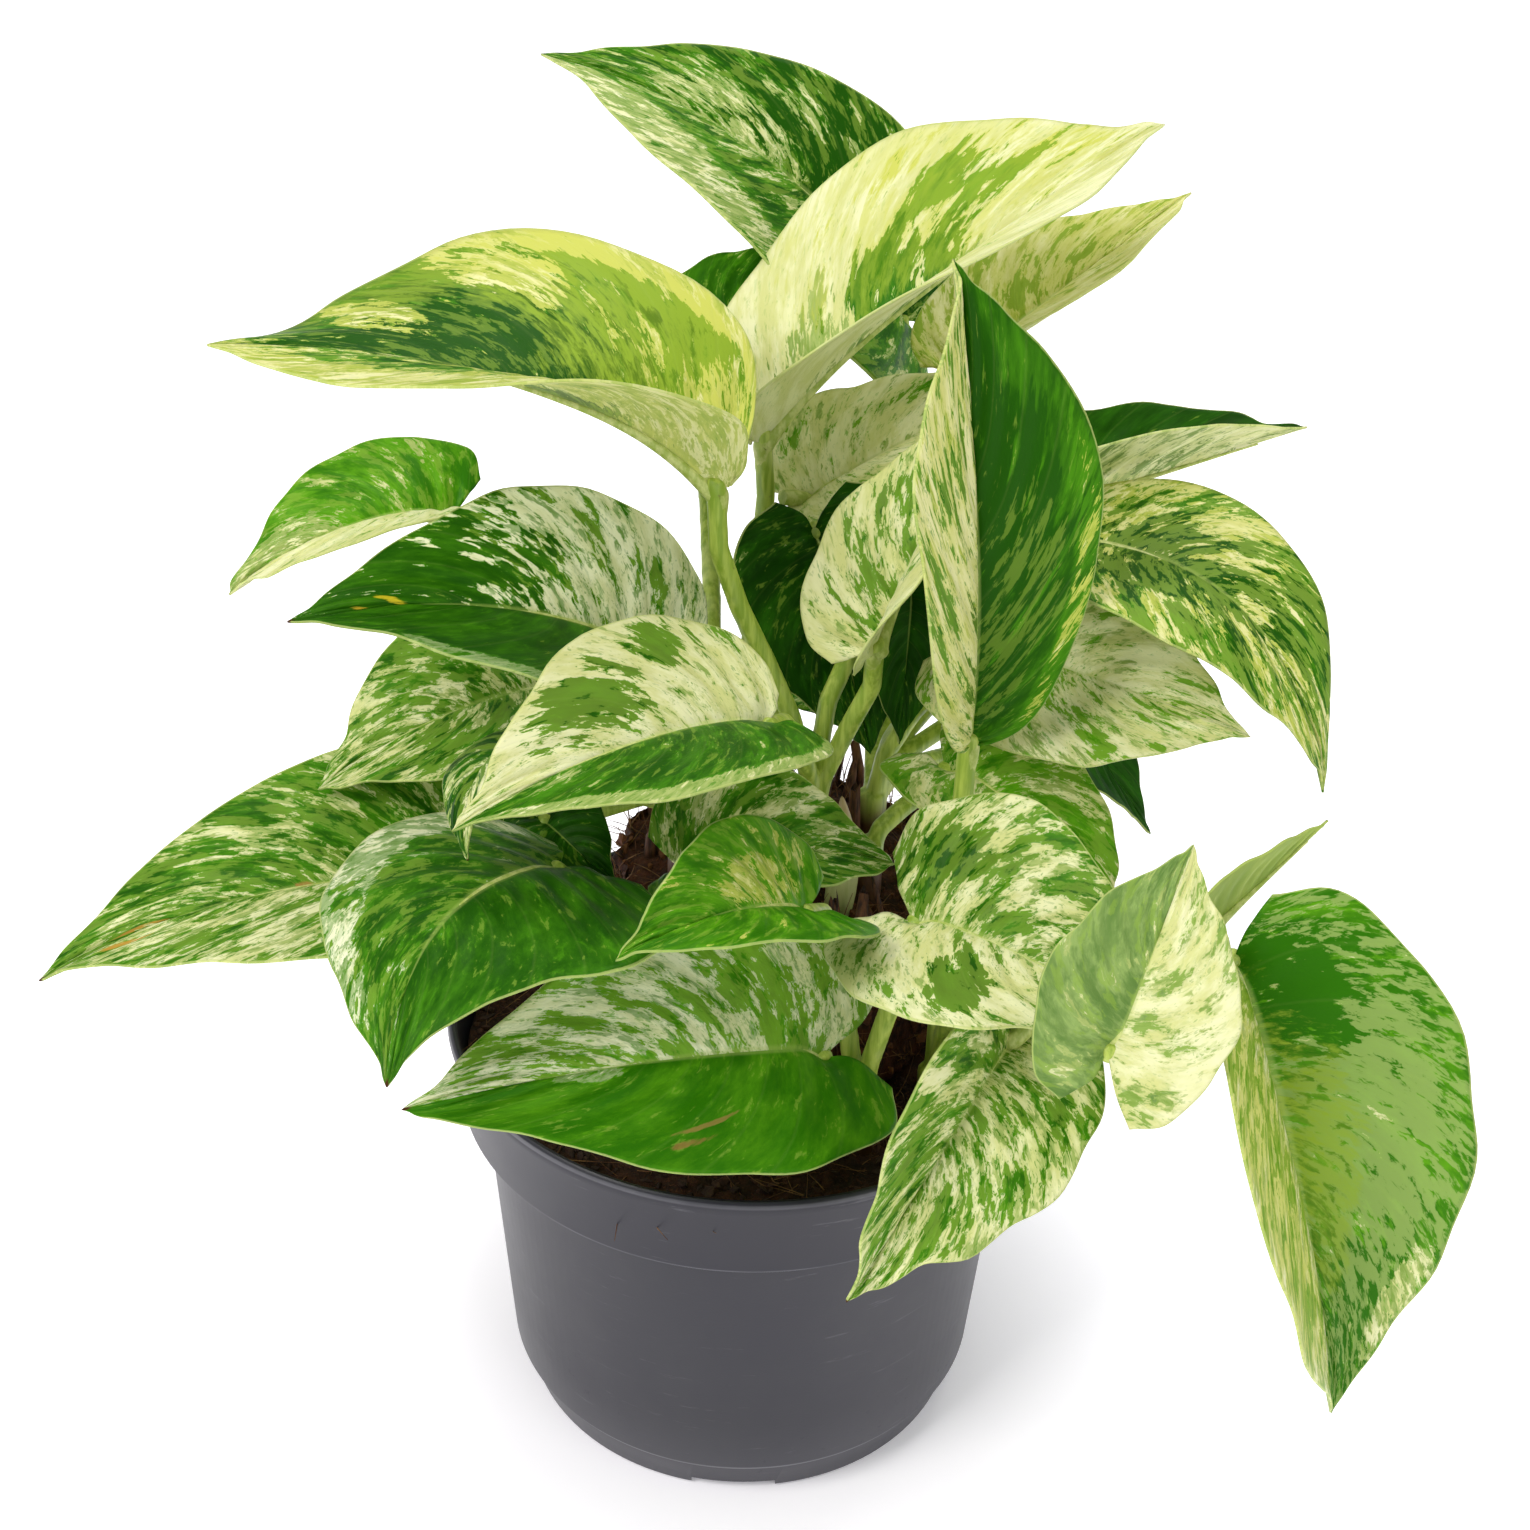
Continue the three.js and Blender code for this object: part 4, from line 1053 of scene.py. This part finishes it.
def makeRib(name, sheet, drawnDown, end, stalkWay, size, material):
    # the raised midrib under the blade, running on from the stalk's end
    route = [(end + stalkWay * rib["knuckleLow"], rib["knuckleFoot"]),
             (end + stalkWay * rib["knuckleTop"], rib["knuckle"])]
    for k in range(rib["points"]):
        share = k / (rib["points"] - 1)
        row = rib["reach"] * share ** 1.1
        spot = sheet(0.0, row)
        radius = (rib["start"] * (1 - share) ** 1.3 + rib["end"]) * (0.5 + 0.5 * size)
        normal = (sheet(0.2, row) - sheet(-0.2, row)).cross(sheet(0, row + 0.3) - spot).normalized()
        route.append((spot + drawnDown(spot) - normal * (radius * 0.8 + rib["sunk"]), radius))
    curve = bareCurve("rib", 1.0, rib["roundness"])
    spline = curve.splines.new("NURBS")
    spline.points.add(len(route) - 1)
    for point, (spot, radius) in zip(spline.points, route):
        point.co = (*spot, 1)
        point.radius = radius
    spline.use_endpoint_u = True
    spline.order_u = 3
    makeCurvePiece("midrib_" + name, curve, material)


def makeBlade(name, ends, ribMaterial):
    look = looks[name]
    cage, tip, end, stalkWay = cageOf("leaf_" + name, ends)
    sheet = bladeSheet(cage, tip)
    shares, length = rowShares(cage, tip)
    width = max((row[-1] - row[0]).length for row in cage) / 2
    size = min(1, length / blade["fullSize"])
    base = sheet(0.0, 0.0)
    deep, wide, narrow = look.get("funnel", blade["funnel"])
    pull = end + stalkWay * deep - base

    def drawnDown(spot):  # the blade narrows onto the top of its stalk
        return (pull + (base - spot) * narrow) * math.exp(-((spot - base).length / wide) ** 2)

    bm = bmesh.new()
    uvLayer = bm.loops.layers.uv.new("blade")
    bmesh.ops.create_grid(bm, x_segments=blade["columns"], y_segments=blade["rows"], size=1,
                          calc_uvs=True)
    step = 0.01
    flatPlace = {}
    for vert in bm.verts:
        across, row = vert.co.x, (vert.co.y + 1) / 2 * blade["cageRows"]
        spot = sheet(across, row)
        low, high = max(row - step, 0), min(row + step, blade["cageRows"] - step / 10)
        openRow = min(row, blade["cageRows"] - step * 10)  # the rows close up at the very tip
        side = -1 if across < 0 or (across == 0 and look["seed"] % 2) else 1
        inner, outer = max(abs(across) - step, 0) * side, min(abs(across) + step, 1) * side
        lengthwise = sheet(across, high) - sheet(across, low)
        crosswise = (sheet(outer, openRow) - sheet(inner, openRow)) * side
        normal = crosswise.cross(lengthwise).normalized()
        k = min(int(row), blade["cageRows"] - 1)
        along = shares[k] + (row - k) * (shares[k + 1] - shares[k])
        far = abs(across)
        taper = smooth(0, 0.1, 1 - along)
        swept = along - far ** blade["curl"] * blade["sweep"] * width / length
        quilt = math.cos(2 * math.pi * swept * blade["veins"]) * math.sin(math.pi * min(far * 1.1, 1))
        wave = noise.noise(Vector((across * 1.1, along * 2.2, look["seed"] * 3.1)))
        ripple = noise.noise(Vector((side * 2.0, along * 5.0, look["seed"] * 1.7))) * far ** 3
        lift = (quilt * blade["quilt"] * -1 + wave * blade["wave"] * (0.3 + far)
                + ripple * blade["wave"] - math.exp(-(far / 0.05) ** 2) * blade["groove"])
        frill = noise.noise(Vector((side * 4.0, along * 9.0, look["seed"] * 2.3)))
        frill = crosswise.normalized() * (frill * far ** 4 * blade["frill"])
        flatPlace[vert.index] = (0.5 + across / 2, along)
        vert.co = spot + (normal * lift + frill) * (taper * size) + drawnDown(spot)
    for face in bm.faces:
        for loop in face.loops:
            loop[uvLayer].uv = flatPlace[loop.vert.index]
    bmesh.ops.remove_doubles(bm, verts=bm.verts, dist=0.002 * mm)
    materials = [leafShading("leaf_%s_upper" % name, look, width, length, False),
                 leafShading("leaf_%s_under" % name, look, width, length, True)]
    piece = makePiece("blade_" + name, bm, materials, ["leaf_" + name])
    wall = piece.modifiers.new("thickness", "SOLIDIFY")
    wall.thickness = blade["finished"]
    wall.offset = 0
    wall.use_even_offset = False
    wall.material_offset = 1
    wall.material_offset_rim = 0
    makeRib(name, sheet, drawnDown, end, stalkWay, size, ribMaterial)


ends = stalkEnds()
ribMaterial = ribShading()
for name in looks:
    makeBlade(name, ends, ribMaterial)
print("leaves done,", len(looks))
